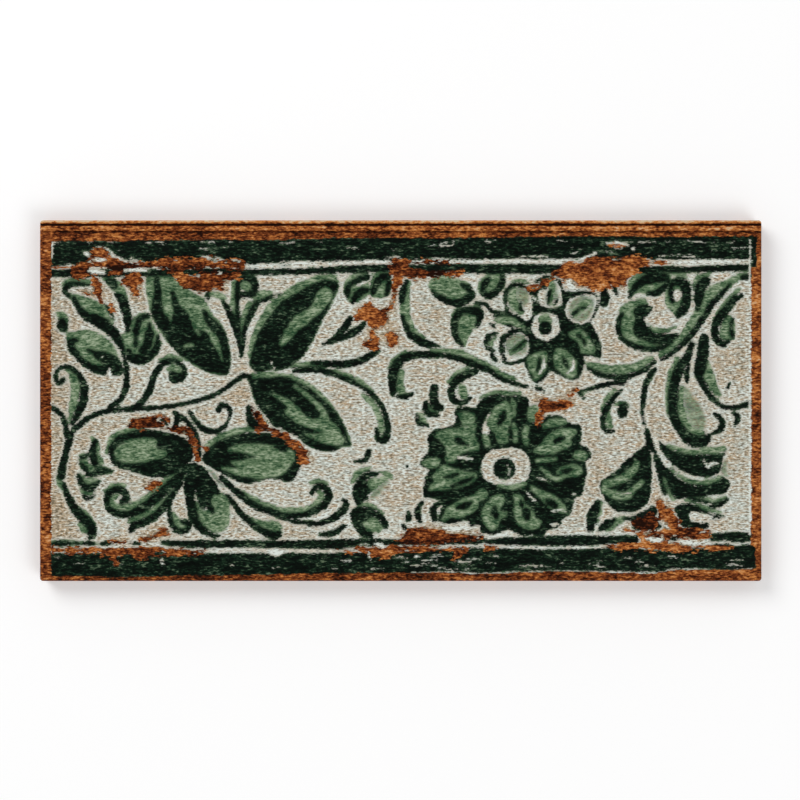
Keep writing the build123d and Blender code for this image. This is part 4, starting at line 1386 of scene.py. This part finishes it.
def chip_lower_border():
    """Glaze lost along the lower border."""
    chip.strip(
        (-135, -59, -56.8), (-124, -59.2, -57.2), (-114, -60.4, -57.2), (-106, -60, -57.4),
        (-101, -61, -56.4), (-96, -60.6, -57), (-90, -60.2, -57), (-84, -60, -57.4), (-75, -59, -58.2),
    )
    kept_dark((0.6, 1.6, 0.8), (-97, -59.4), (-94.6, -59), (-92, -59))
    kept_dark((0.6, 1.2, 0.6), (-119.6, -59.6), (-117.4, -59.2), (-115, -59.6))
    chip.stroke((1.4, 3, 2, 1), (-111.4, -59), (-111, -61), (-110.4, -62.4), (-110.6, -63.4))
    chip.stroke(
        (1, 1.6, 1.8, 2.6, 1.6),
        (-100.6, -54.4), (-98, -53.6), (-95.6, -52.6), (-93, -51.4), (-90.6, -51.6),
    )
    chip.stroke((0.8, 1.4, 0.8), (-113, -54.2), (-110, -54.6), (-106.6, -55))
    fleck.stroke((0.4, 0.9, 0.6), (-122, -56.9), (-113, -56.9), (-104.4, -56.7))
    fleck.stroke((0.6, 1.2, 0.8), (-100, -55.8), (-95, -55.8), (-90, -56.8))
    chip.patch(
        (-2.7, -54.2), (0, -52.6), (2.9, -50.5), (4.7, -49.6), (11.6, -48.9), (14.7, -49.5),
        (17.8, -51.1), (22.7, -51.7), (30.8, -51.8), (31.6, -53.2), (27.7, -53.9), (22, -54.8),
        (17.8, -55.4), (8.5, -55.8), (2, -55.4), (-0.2, -54.8),
    )
    chip.patch(
        (-17.6, -57), (-12, -56.6), (-8, -57), (-4, -56.2), (2, -56), (8, -56.2), (14, -56.6),
        (20, -57), (24, -57.2), (26.6, -58), (24, -58.6), (22.8, -61.2), (20.8, -61.6), (20, -58.8),
        (14, -58.6), (8, -58.4), (3, -58.6), (-1, -59), (-3, -60.2), (-5, -61.2), (-8, -61.4),
        (-10.4, -60.4), (-12.6, -58.8),
    )
    chip.patch((32.4, -57), (34, -56), (37, -56.2), (37.4, -57.8), (34.6, -58.4), (32.8, -58))
    kept_dark((0.3, 0.9, 0.5, 0.9, 0.3), (-2, -55.7), (4, -56), (10, -55.9), (17, -56))
    fleck.stroke((0.4, 0.8, 0.6), (22.6, -56.4), (27, -56.4), (32, -55.4))
    chip.stroke((0.8, 1.2, 0.8), (-24, -58), (-20, -58.2), (-16, -58))
    kept_white((0.8, 1.8, 1), (-9.8, -55.6), (-8, -56), (-6, -56.8))
    fleck.stroke((0.4, 0.8, 0.4), (-15.6, -55.8), (-14, -55.7), (-12.4, -55.9))
    fleck.stroke((0.6, 1.2, 0.6), (-12.6, -59), (-12.2, -60.2), (-11.6, -61.2))
    kept_white((0.4, 0.9, 0.5), (14.6, -56.5), (17, -56.5), (19.4, -56.2))
    soaked.stroke((1.4, 2.2, 2.2, 1.4), (-2, -55), (8, -55), (18, -54.6), (30, -53.6))
    kept_white((0.6, 1.6, 0.8), (34, -53.4), (38, -52.2), (42, -51.8))
    chip.patch(
        (99.2, -38.2), (101, -38.2), (101.4, -40), (104, -41.4), (105.4, -42.6), (106.6, -44.6),
        (108, -46.4), (108, -48.6), (112, -49.8), (118, -50.4), (121, -51.4), (118, -53.4),
        (110, -53.4), (104, -53.4), (104, -54.6), (108, -55.6), (115, -56.4), (122, -56.2), (116, -58),
        (108, -58.8), (100, -58.4), (92, -58.2), (84, -57.6), (79, -57.2), (80.6, -56.2), (84, -55.4),
        (88, -55), (93, -54.6), (91.6, -52), (88, -50.4), (87, -49.8), (92, -50.4), (98, -50.6),
        (102, -49.4), (102.4, -46), (100, -43.6), (99, -41),
    )
    chip.patch(
        (89.6, -46.8), (94, -44.8), (97.6, -42.6), (99.4, -45.4), (100, -49.4), (95, -50.4), (91, -50),
    )
    soaked.patch((88.6, -46.8), (93, -44), (98, -41.6), (100.4, -45), (100.6, -50.4), (91, -51))
    soaked.stroke((3, 4, 3), (106, -47), (109, -48.6), (112, -50))
    soaked.stroke((3, 4, 3), (96, -53), (104, -53), (113, -53.6))
    kept_white((1.4, 2.2, 1.6), (95, -53.2), (98, -54.2), (101.4, -53.8))
    kept_white((0.8, 1.4, 0.8), (102, -48), (103, -48.8), (103.8, -49.4))
    kept_white((0.8, 2, 1.6, 0.8), (107.8, -54.8), (111.6, -54.8), (115, -55.4), (119.4, -54))
    chip.stroke((0.8, 2, 1.6, 0.6), (115, -57.2), (119, -57), (123.6, -56.8), (128, -57.2))
    kept_dark((1, 1.8, 1), (103.4, -53.8), (105.8, -53.6), (108, -53.6))
    kept_dark((1, 2, 1), (110, -47), (110.6, -48.2), (112, -49))


for paint in (
    paint_field, paint_borders, paint_band_glints, paint_upper_left_sprigs, paint_double_leaf, paint_left_leaf,
    paint_middle_stems, paint_right_leaf, paint_main_stem, paint_lower_leaf, paint_long_tendrils,
    paint_upper_middle_leaves, paint_upper_rosette, paint_upper_right_leaves, paint_right_tendrils,
    paint_right_flower, paint_lower_rosette, paint_lower_left_flower, paint_lower_left_sprig,
    paint_lower_middle, chip_upper_left, chip_centre, chip_right, chip_left_flower, chip_lower_border,
):
    paint()

# Sage becomes all of the green, and dark the dark part of it
white.grow(petal_growth)
light.grow(petal_growth)
sage.grow(light_spread)
dark.grow(dark_spread)
sage.blend(dark)
sage.cut(white)
sage.join(light)
sage.join(ink)
sage.cut(fleck)
dark.cut(white, light)
dark.join(ink)
dark.cut(fleck)
chip.cut(kept)
for seed, layer in enumerate((sage, wash, dark, fleck, chip, glaze)):
    layer.roughen(ragged_edge, seed)


def margin_row(low, high):
    """1 between two heights on the upper margin, with soft edges just inside them."""
    return soft_step(grid_y, low, low + margin_blur) * soft_step(high - grid_y, 0, margin_blur)


def clay_tone():
    """How light the clay is: lighter along the top, with painted shade in the scored lines, and dark at the
    foot.
    """
    tone = mottle_tone * (grain(*clay_mottle) - 0.5)
    tone += bead_tone * margin_row(lower_score, upper_score)
    tone += inner_margin_tone * margin_row(field_top, lower_score)
    tone += outer_margin_tone * soft_step(grid_y, upper_score - outer_margin_overlap, half_height)
    tone += lower_margin_tone * soft_step(-grid_y, *lower_margin_edge)
    tone += right_end_tone * soft_step(grid_x, *right_end) * soft_step(field_top - grid_y, -1, 0)
    tone += soaked_tone * soaked.cover(soaked_blur)
    # Painted shade in the scored lines
    for middle, darkness in zip(score_places, score_shade_tones):
        tone += darkness * (1 - soft_step(np.abs(grid_y - middle + score_shadow_shift), *score_shadow))
    return tone


def dirt_level():
    """How dirty the white ground is: in patches, more at the left end and round the chips."""
    patches = grain(*dirt_patches) + grain(*dirt_spots) - 1
    at_left = soft_step(-grid_x, *left_end)
    at_chips = soft_step(chip.inside, *round_chips)
    return patch_dirt * patches + left_end_dirt * at_left + chip_dirt * at_chips


def corner_shares(x, y):
    """How far into a corner each point is along x and y, from 0 to 1: square, and once rounded."""
    u = np.clip((np.abs(x) - half_length + corner_radius) / corner_radius, 0, 1)
    v = np.clip((np.abs(y) - half_height + corner_radius) / corner_radius, 0, 1)
    return u, v, u * np.sqrt(1 - v * v / 2), v * np.sqrt(1 - u * u / 2)


def round_corners(x, y):
    """x and y with the slab's corners rounded."""
    u, v, rounded_u, rounded_v = corner_shares(x, y)
    rounded_x = x + np.sign(x) * corner_radius * (rounded_u - u)
    rounded_y = y + np.sign(y) * corner_radius * (rounded_v - v)
    return rounded_x, rounded_y


def edge_distance():
    """How far each point of the face is from the slab's edge."""
    u, v, rounded_u, rounded_v = corner_shares(grid_x, grid_y)
    straight = np.minimum(half_length - np.abs(grid_x), half_height - np.abs(grid_y))
    in_corner = (u > 0) & (v > 0)
    return np.where(in_corner, corner_radius * (1 - np.hypot(rounded_u, rounded_v)), straight)


def face_height():
    """The height of the face: clay, scored lines, glaze, paint and chips."""
    inset = edge_distance()
    drop = arris_radius - np.clip(inset, 0, arris_radius)
    arris = np.sqrt(arris_radius**2 - drop**2) - arris_radius
    pits = grain(*fine_pits) * grain(*pitted_areas)
    clay = clay_top + arris - clay_roughness * pits * soft_step(inset, 0, arris_radius)
    for middle in score_places:
        clay -= score_depth * np.clip(1 - np.abs(grid_y - middle) / (score_width / 2), 0, 1)
    lost = chip.cover(edge_blur)
    glazed = glaze.cover(edge_blur) * (1 - lost)
    painted = np.maximum(sage.cover(paint_blur), dark.cover(paint_blur))
    skin = ground_rise + paint_rise * painted + grain_rise * (2 * grain(*glaze_grain) - 1)
    chipped = lost * chip_roughness * (grain(*chip_grain) - chip_lift)
    return np.minimum(clay + glazed * skin - chipped, thickness)


def face_points():
    """The face as a grid of points."""
    return np.stack([*round_corners(grid_x, grid_y), face_height()], axis=-1)


def back_points():
    """The back and its grooves as a grid of points, with lines close together at the corners."""
    groove_edges = []
    for middle in groove_middles:
        for width in (groove_mouth, groove_floor):
            groove_edges += [middle - width / 2, middle + width / 2]
    across = filled_lines(end_lines(half_length, back_insets), back_step_along)
    up = filled_lines(end_lines(half_height, back_insets) + groove_edges, back_step_across)
    x, y = np.meshgrid(across, up)
    from_middle = np.min([np.abs(y - middle) for middle in groove_middles], axis=0)
    draft = (groove_mouth - groove_floor) / 2
    z = groove_depth * np.clip((groove_mouth / 2 - from_middle) / draft, 0, 1)
    return np.stack([*round_corners(x, y), z], axis=-1)


def numbered(grid, first):
    """The vertex numbers of a grid of points."""
    rows, columns = grid.shape[:2]
    return first + np.arange(rows * columns).reshape(rows, columns)


def border(numbers):
    """The four sides of a grid's border, each from one corner to the next, anticlockwise."""
    return numbers[0, :], numbers[:, -1], numbers[-1, ::-1], numbers[::-1, 0]


def zipped(upper, lower, upper_along, lower_along):
    """Triangles that join two runs of vertices, one above the other, by how far along each vertex is."""
    faces = []
    a = b = 0
    while a < len(upper) - 1 or b < len(lower) - 1:
        step_upper = b == len(lower) - 1
        if a < len(upper) - 1 and not step_upper:
            step_upper = upper_along[a + 1] <= lower_along[b + 1]
        if step_upper:
            faces.append((upper[a], lower[b], upper[a + 1]))
            a += 1
        else:
            faces.append((upper[a], lower[b], lower[b + 1]))
            b += 1
    return faces


def grid_faces(numbers, upward):
    """Quads over a grid of vertices."""
    corners = [numbers[:-1, :-1], numbers[:-1, 1:], numbers[1:, 1:], numbers[1:, :-1]]
    if not upward:
        corners.reverse()
    return np.stack([corner.ravel() for corner in corners], axis=1).tolist()


def side_faces(points, face, ring, back):
    """The sides: triangles from the face's border down to the ring, and quads from there to the back."""
    faces = []
    for side, (upper, lower, foot) in enumerate(zip(border(face), border(ring), border(back))):
        axis = side % 2
        sign = 1 if side < 2 else -1
        faces += zipped(upper, lower, sign * points[upper, axis], sign * points[lower, axis])
        faces += zip(lower[:-1], foot[:-1], foot[1:], lower[1:])
    return faces


def write_attribute(mesh, name, *parts):
    """Stores a value at each vertex, from the parts of the mesh in the order of its vertices."""
    values = np.concatenate([np.ravel(part) for part in parts]).astype(np.float32)
    mesh.attributes.new(name, "FLOAT", "POINT").data.foreach_set("value", values)


# Edges sharper than this, in degrees, stay sharp in the shading
sharp_angle = 40


def tile_mesh():
    """One closed mesh: the face as a fine grid, the back with its grooves, and the sides between them."""
    face = face_points()
    back = back_points()
    ring = back.copy()
    ring[..., 2] = clay_top - arris_radius - side_ring_drop
    points = np.vstack([part.reshape(-1, 3) for part in (face, back, ring)])
    face_numbers = numbered(face, 0)
    back_numbers = numbered(back, face_numbers.size)
    ring_numbers = numbered(ring, face_numbers.size + back_numbers.size)
    front = grid_faces(face_numbers, upward=True)
    sides = side_faces(points, face_numbers, ring_numbers, back_numbers)
    rear = grid_faces(back_numbers, upward=False)

    mesh = bpy.data.meshes.new("riser_tile_glazed")
    mesh.from_pydata((points * MM).tolist(), [], front + sides + rear)
    mesh.polygons.foreach_set("material_index", [0] * len(front) + [1] * (len(sides) + len(rear)))
    layers = {"glaze": glaze, "sage": sage, "wash": wash, "dark": dark, "fleck": fleck, "chip": chip}
    unpainted = np.full(back_numbers.size + ring_numbers.size, -reach)
    for name, layer in layers.items():
        write_attribute(mesh, name, layer.inside, unpainted)
    # Painted shade and dust in the back's grooves, darkest on their floors
    groove_shades_and_dust = groove_shade_and_dust * back[..., 2] / groove_depth
    write_attribute(mesh, "tone", clay_tone(), groove_shades_and_dust, np.zeros(ring_numbers.size))
    write_attribute(mesh, "dirt", dirt_level(), np.zeros(unpainted.size))
    bake_map(mesh, len(front), len(sides))
    drop_loose(mesh)
    mesh.shade_smooth()
    mesh.set_sharp_from_angle(angle=math.radians(sharp_angle))
    return mesh


# The texture map, as shares of its width: where its rows are, and how they are scaled against the face
map_margin = 0.004
map_face_row = 0.496
map_end_row = 0.412
map_upper_side_rise = 0.028
map_lower_side_rise = 0.056
map_second_end = 0.5
map_back_scale = 0.8
map_end_scale = 0.97
map_height_scale = 0.7


def bake_map(mesh, face_count, side_count):
    """Lays the face across the whole width of the texture map, with the sides and the back below it."""
    face_scale = 1 / (2 * half_length)
    layer = mesh.uv_layers.new(name="OFBake")
    corners = np.zeros(len(mesh.loops), int)
    mesh.loops.foreach_get("vertex_index", corners)
    points = np.zeros(len(mesh.vertices) * 3)
    mesh.vertices.foreach_get("co", points)
    points = points.reshape(-1, 3)[corners] / MM
    starts = np.zeros(len(mesh.polygons), int)
    mesh.polygons.foreach_get("loop_start", starts)
    front = slice(0, starts[face_count])
    sides = slice(starts[face_count], starts[face_count + side_count])
    rear = slice(starts[face_count + side_count], len(points))

    across = map_margin + (points[:, 0] * face_scale + 0.5) * (1 - 2 * map_margin)
    from_foot = (points[:, 1] + half_height) * face_scale
    up = np.empty(len(points))
    up[front] = map_face_row + from_foot[front]
    up[rear] = map_margin + from_foot[rear] * map_back_scale

    lengths = np.diff(np.append(starts, len(points)))[face_count : face_count + side_count]
    ids = np.repeat(np.arange(side_count), lengths)
    middle_x, middle_y = (np.bincount(ids, points[sides, axis])[ids] / lengths[ids] for axis in (0, 1))
    on_end = half_length - np.abs(middle_x) < half_height - np.abs(middle_y)
    second = np.where(on_end, middle_x > 0, middle_y > 0)
    along_end = map_margin + from_foot[sides] * map_end_scale + np.where(second, map_second_end, 0)
    across[sides] = np.where(on_end, along_end, across[sides])
    rise = np.where(on_end, 0, np.where(second, map_upper_side_rise, map_lower_side_rise))
    up[sides] = map_end_row + points[sides, 2] * face_scale * map_height_scale + rise
    layer.data.foreach_set("uv", np.stack([across, up], axis=1).astype(np.float32).ravel())


def drop_loose(mesh):
    """Removes the vertices of the ring that no face uses, and turns every face outward."""
    work = bmesh.new()
    work.from_mesh(mesh)
    bmesh.ops.delete(work, geom=[v for v in work.verts if not v.link_faces], context="VERTS")
    bmesh.ops.recalc_face_normals(work, faces=work.faces)
    work.to_mesh(mesh)
    work.free()


# Colours as they look in daylight, red, green and blue from 0 to 255
GROUND_WARM = (190, 167, 136)
GROUND_COOL = (178, 184, 174)
GROUND_DIRT = (112, 102, 82)
WHITE_GLAZE = (222, 229, 222)

# Colours by tone: fired clay from pits to rubbed grains, thin light paint, and strokes that are nearly black
CLAY_COLOURS = (
    (-0.42, (30, 13, 6)), (-0.12, (94, 44, 20)), (0.12, (142, 78, 38)), (0.42, (200, 130, 66)),
    (0.85, (206, 184, 150)),
)
LIGHT_GREENS = (
    (-0.28, (38, 68, 44)), (-0.1, (80, 105, 75)), (0.06, (104, 127, 95)), (0.3, (156, 170, 142)),
)
DEEP_GREENS = ((-0.3, (3, 7, 4)), (0.0, (7, 18, 11)), (0.17, (25, 47, 31)), (0.4, (98, 114, 90)))

# Noise in the materials: lumps along, across and through the tile, then detail, roughness and shift
CLAY_GRAINS = ((1.6, 0.65, 0.65), 2.0, 0.6, 4.1)
CLAY_BLOTCHES = ((6, 4, 4), 2.0, 0.5, 9.4)
CLAY_MOTTLE = ((14, 9, 9), 2.0, 0.5, 4.4)
CLAY_PITS = ((1.4, 1.4, 1.4), 4.0, 0.65, 8.8)
GROUND_HUES = ((4.5, 1.6, 1.6), 2.0, 0.65, 3.1)
PAINT_STREAKS = ((2.4, 0.8, 0.8), 2.0, 0.6, 1.3)
PAINT_BRUSH = ((8, 3, 3), 2.0, 0.5, 5.5)
GLAZE_GRAINS = ((1.6, 0.6, 0.6), 2.0, 0.6, 7.7)
CHIP_BLOTCHES = ((4.0, 2.0, 2.0), 2.0, 0.6, 6.3)

# The surfaces
bump_height = 0.2
bump_strength = 0.5
face_contrast = 2.1
back_contrast = 0.9
blotch_share = 0.48
clay_shine = 0.12
glaze_shine = 0.05
chip_face_roughness = 0.85
glaze_roughness = 0.48
back_roughness = 0.9


def linear(colour):
    """A colour from 0 to 255 as the shader takes it."""
    shares = [part / 255 for part in colour]
    return tuple(s / 12.92 if s <= 0.04045 else ((s + 0.055) / 1.055) ** 2.4 for s in shares) + (1.0,)


class Shader:
    """Builds a material's nodes. An input is a value, or a socket to link from."""

    def __init__(self, name):
        self.material = bpy.data.materials.new(name)
        self.material.use_nodes = True
        self.tree = self.material.node_tree
        self.tree.nodes.clear()
        self.place = self.node("ShaderNodeTexCoord").outputs["Object"]

    def node(self, kind, inputs=(), **settings):
        made = self.tree.nodes.new(kind)
        for name, value in settings.items():
            setattr(made, name, value)
        for key, value in dict(inputs).items():
            if isinstance(value, bpy.types.NodeSocket):
                self.tree.links.new(value, made.inputs[key])
            else:
                made.inputs[key].default_value = value
        return made

    def noise(self, size, detail, roughness, shift):
        """Noise round 0 with lumps of this size, in millimetres along, across and through the tile."""
        scale = tuple(1 / (MM * length) for length in size)
        mapping = {"Vector": self.place, "Location": (shift,) * 3, "Scale": scale}
        moved = self.node("ShaderNodeMapping", mapping).outputs[0]
        inputs = {"Vector": moved, "Scale": 1.0, "Detail": detail, "Roughness": roughness}
        return self.math("SUBTRACT", self.node("ShaderNodeTexNoise", inputs).outputs["Fac"], 0.5)

    def layer(self, name):
        """A value that the mesh keeps at its vertices."""
        return self.node("ShaderNodeAttribute", attribute_name=name).outputs["Fac"]

    def ramp(self, value, low, high, to_low=0.0, to_high=1.0):
        """A smooth change from one value to another, as the first goes from low to high."""
        inputs = {0: value, 1: low, 2: high, 3: to_low, 4: to_high}
        return self.node("ShaderNodeMapRange", inputs, interpolation_type="SMOOTHSTEP").outputs[0]

    def math(self, operation, *values):
        return self.node("ShaderNodeMath", enumerate(values), operation=operation).outputs[0]

    def moved(self, value, noise, amount):
        """A value pushed up and down by noise."""
        return self.math("MULTIPLY_ADD", noise, amount, value)

    def mix(self, share, first, second):
        return self.node("ShaderNodeMix", {0: share, 6: first, 7: second}, data_type="RGBA").outputs[2]

    def colours(self, value, stops):
        """The colour at a value, between stops of (value, colour) in rising order."""
        low = stops[0][0]
        high = stops[-1][0]
        inputs = {0: value, 1: low, 2: high}
        made = self.node("ShaderNodeValToRGB", {0: self.node("ShaderNodeMapRange", inputs).outputs[0]})
        while len(made.color_ramp.elements) < len(stops):
            made.color_ramp.elements.new(0.5)
        for element, (at, colour) in zip(made.color_ramp.elements, stops):
            element.position = (at - low) / (high - low)
            element.color = linear(colour)
        return made.outputs[0]

    def output(self, surface):
        """Ends the material with this surface."""
        self.node("ShaderNodeOutputMaterial", {"Surface": surface.outputs[0]})
        return self.material

    def finish(self, colour, roughness, specular, height):
        """Ends the material with a plain surface of this colour, with fine bumps."""
        bumps = {"Height": height, "Strength": bump_strength, "Distance": bump_height * MM}
        inputs = {
            "Base Color": colour,
            "Roughness": roughness,
            "Specular IOR Level": specular,
            "Normal": self.node("ShaderNodeBump", bumps).outputs[0],
        }
        return self.output(self.node("ShaderNodeBsdfPrincipled", inputs))


def clay_colour(shader, tone, contrast):
    """Fired clay: mottled, with dark pits and pale rubbed grains. Tone makes it lighter or darker."""
    grains = shader.noise(*CLAY_GRAINS)
    blotches = shader.noise(*CLAY_BLOTCHES)
    level = shader.moved(shader.moved(tone, blotches, contrast * blotch_share), grains, contrast)
    return shader.colours(level, CLAY_COLOURS)


def ground_colour(shader, grains):
    """The tin glaze: warm and cool by turns, dirty in spots, and whiter beside the paint and in flecks."""
    hue_reach = 0.24
    full_dirt = -0.17
    full_white = 0.13
    thickest_fleck = 0.6
    dirt = shader.layer("dirt")
    hue = shader.moved(shader.noise(*GROUND_HUES), dirt, -0.25)
    level = shader.moved(grains, dirt, -0.09)
    colour = shader.mix(shader.ramp(hue, -hue_reach, hue_reach), linear(GROUND_WARM), linear(GROUND_COOL))
    colour = shader.mix(shader.ramp(level, 0.0, full_dirt), colour, linear(GROUND_DIRT))
    colour = shader.mix(shader.ramp(level, 0.0, full_white), colour, linear(WHITE_GLAZE))
    beside = shader.ramp(shader.moved(shader.layer("sage"), grains, 3.0), -1.5, -0.5, to_high=0.35)
    thick = shader.math("MINIMUM", shader.layer("fleck"), thickest_fleck)
    fleck = shader.ramp(shader.moved(thick, grains, 4.0), -0.4, thickest_fleck, to_high=0.9)
    return shader.mix(shader.math("MAXIMUM", beside, fleck), colour, linear(WHITE_GLAZE))


def green_over(shader, ground, grains):
    """The green paint over the ground, from light leaves to nearly black strokes."""
    shade_beside_dark = -0.05
    thickest_wash = 0.5
    cover_blur = 0.3
    streaks = shader.noise(*PAINT_STREAKS)
    brush = shader.noise(*PAINT_BRUSH)
    dark = shader.layer("dark")
    texture = shader.moved(shader.math("ADD", streaks, grains), brush, 0.65)
    shade = shader.ramp(dark, -1.1, -0.1, to_high=shade_beside_dark)
    light = shader.colours(shader.moved(shade, texture, 1.2), LIGHT_GREENS)
    edge = shader.moved(shader.moved(dark, streaks, 2.6), grains, 2.4)
    green = shader.mix(shader.ramp(edge, -0.55, 0.35), light, shader.colours(texture, DEEP_GREENS))
    thin = shader.math("MINIMUM", shader.layer("wash"), thickest_wash)
    wash = shader.ramp(shader.moved(thin, grains, 5.0), -0.9, 1.0, to_high=0.95)
    cover = shader.ramp(shader.moved(shader.layer("sage"), grains, 2.8), -cover_blur, cover_blur)
    return shader.mix(shader.math("MAXIMUM", wash, cover), ground, green)


def glazed_face():
    """The front: painted glaze where there is glaze, and bare clay on the margin and in the chips."""
    blur = 0.2
    shader = Shader("glazed_face")
    grains = shader.noise(*GLAZE_GRAINS)
    blotches = shader.noise(*CHIP_BLOTCHES)
    clay = clay_colour(shader, shader.layer("tone"), face_contrast)
    paint = green_over(shader, ground_colour(shader, grains), grains)
    chip = shader.moved(shader.moved(shader.layer("chip"), grains, 3.0), blotches, 5.0)
    edge = shader.moved(shader.layer("glaze"), grains, 1.5)
    glazed = shader.math("MULTIPLY", shader.ramp(edge, -blur, blur), shader.ramp(chip, blur, -blur))
    roughness = shader.ramp(glazed, 0.0, 1.0, chip_face_roughness, glaze_roughness)
    return shader.finish(shader.mix(glazed, clay, paint), roughness, glaze_shine, grains)


def bare_clay():
    """The sides and the back, as they left the mould."""
    shader = Shader("bare_clay")
    mottle = shader.ramp(shader.noise(*CLAY_MOTTLE), -0.2, 0.2, to_low=-0.04, to_high=0.12)
    tone = shader.math("ADD", mottle, shader.layer("tone"))
    colour = clay_colour(shader, tone, back_contrast)
    return shader.finish(colour, back_roughness, clay_shine, shader.noise(*CLAY_PITS))


def place(name, data):
    """A new object in the scene."""
    made = bpy.data.objects.new(name, data)
    bpy.context.scene.collection.objects.link(made)
    return made


def make_tile():
    mesh = tile_mesh()
    mesh.materials.append(glazed_face())
    mesh.materials.append(bare_clay())
    tile = place("riser_tile_glazed", mesh)
    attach(tile, "root")
    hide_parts("riser_tile")


# The floor and the light
floor_half = 3000.0
floor_gap = 0.05
floor_colour = (0.82, 0.82, 0.82, 1)
floor_glow = 0.22
world_zenith = 0.15
world_horizon = 1.0
lamp_size = 1500.0
lamp_distance = 2600.0


def make_floor():
    """A plain white floor that keeps the tile's shadow."""
    corners = [(-1, -1), (1, -1), (1, 1), (-1, 1)]
    mesh = bpy.data.meshes.new("floor")
    mesh.from_pydata(
        [(x * floor_half * MM, y * floor_half * MM, -floor_gap * MM) for x, y in corners], [], [(0, 1, 2, 3)]
    )
    shader = Shader("floor")
    path = shader.node("ShaderNodeLightPath")
    seen = path.outputs["Is Camera Ray"]
    for ray in ("Is Glossy Ray", "Is Transmission Ray"):
        seen = shader.math("MAXIMUM", seen, path.outputs[ray])
    matt = shader.node("ShaderNodeBsdfDiffuse", {"Color": floor_colour})
    glow = shader.node("ShaderNodeEmission", {"Strength": shader.math("MULTIPLY", seen, floor_glow)})
    both = shader.node("ShaderNodeAddShader", {0: matt.outputs[0], 1: glow.outputs[0]})
    mesh.materials.append(shader.output(both))
    place("floor", mesh)


def make_world():
    """Even light from all round, bright at the horizon and dimmer overhead, as in a white studio."""
    world = bpy.data.worlds.new("studio")
    bpy.context.scene.world = world
    world.use_nodes = True
    tree = world.node_tree
    background = tree.nodes["Background"]
    direction = tree.nodes.new("ShaderNodeTexCoord")
    parts = tree.nodes.new("ShaderNodeSeparateXYZ")
    level = tree.nodes.new("ShaderNodeMapRange")
    level.inputs["To Min"].default_value = world_horizon
    level.inputs["To Max"].default_value = world_zenith
    tree.links.new(direction.outputs["Generated"], parts.inputs[0])
    tree.links.new(parts.outputs["Z"], level.inputs["Value"])
    tree.links.new(level.outputs[0], background.inputs["Strength"])
    background.inputs["Color"].default_value = (1, 1, 1, 1)


def make_lamp(name, azimuth, elevation, watts):
    """A large soft lamp that faces the tile."""
    data = bpy.data.lights.new(name, "AREA")
    data.shape = "DISK"
    data.size = lamp_size * MM
    data.energy = watts
    lamp = place(name, data)
    turn = math.radians(azimuth)
    rise = math.radians(elevation)
    distance = lamp_distance * MM
    lamp.location = (
        distance * math.cos(rise) * math.cos(turn),
        distance * math.cos(rise) * math.sin(turn),
        distance * math.sin(rise),
    )
    lamp.rotation_euler = (-lamp.location).to_track_quat("-Z", "Y").to_euler()


# The camera looks straight down on the face, with the upper edge at the top of the picture
camera_lens = 100.0
camera_sensor = 36.0
view_width = 310.03
view_middle = (-0.29, 0.25)


def make_camera():
    data = bpy.data.cameras.new("camera")
    data.lens = camera_lens
    data.sensor_width = camera_sensor
    camera = place("camera", data)
    height = thickness + view_width * camera_lens / camera_sensor
    camera.location = (view_middle[0] * MM, view_middle[1] * MM, height * MM)
    bpy.context.scene.camera = camera


make_tile()
make_floor()
make_world()
make_lamp("key_lamp", azimuth=135, elevation=42, watts=33)
make_lamp("fill_lamp", azimuth=-45, elevation=48, watts=20)
make_camera()
bpy.context.scene.view_settings.view_transform = "Standard"
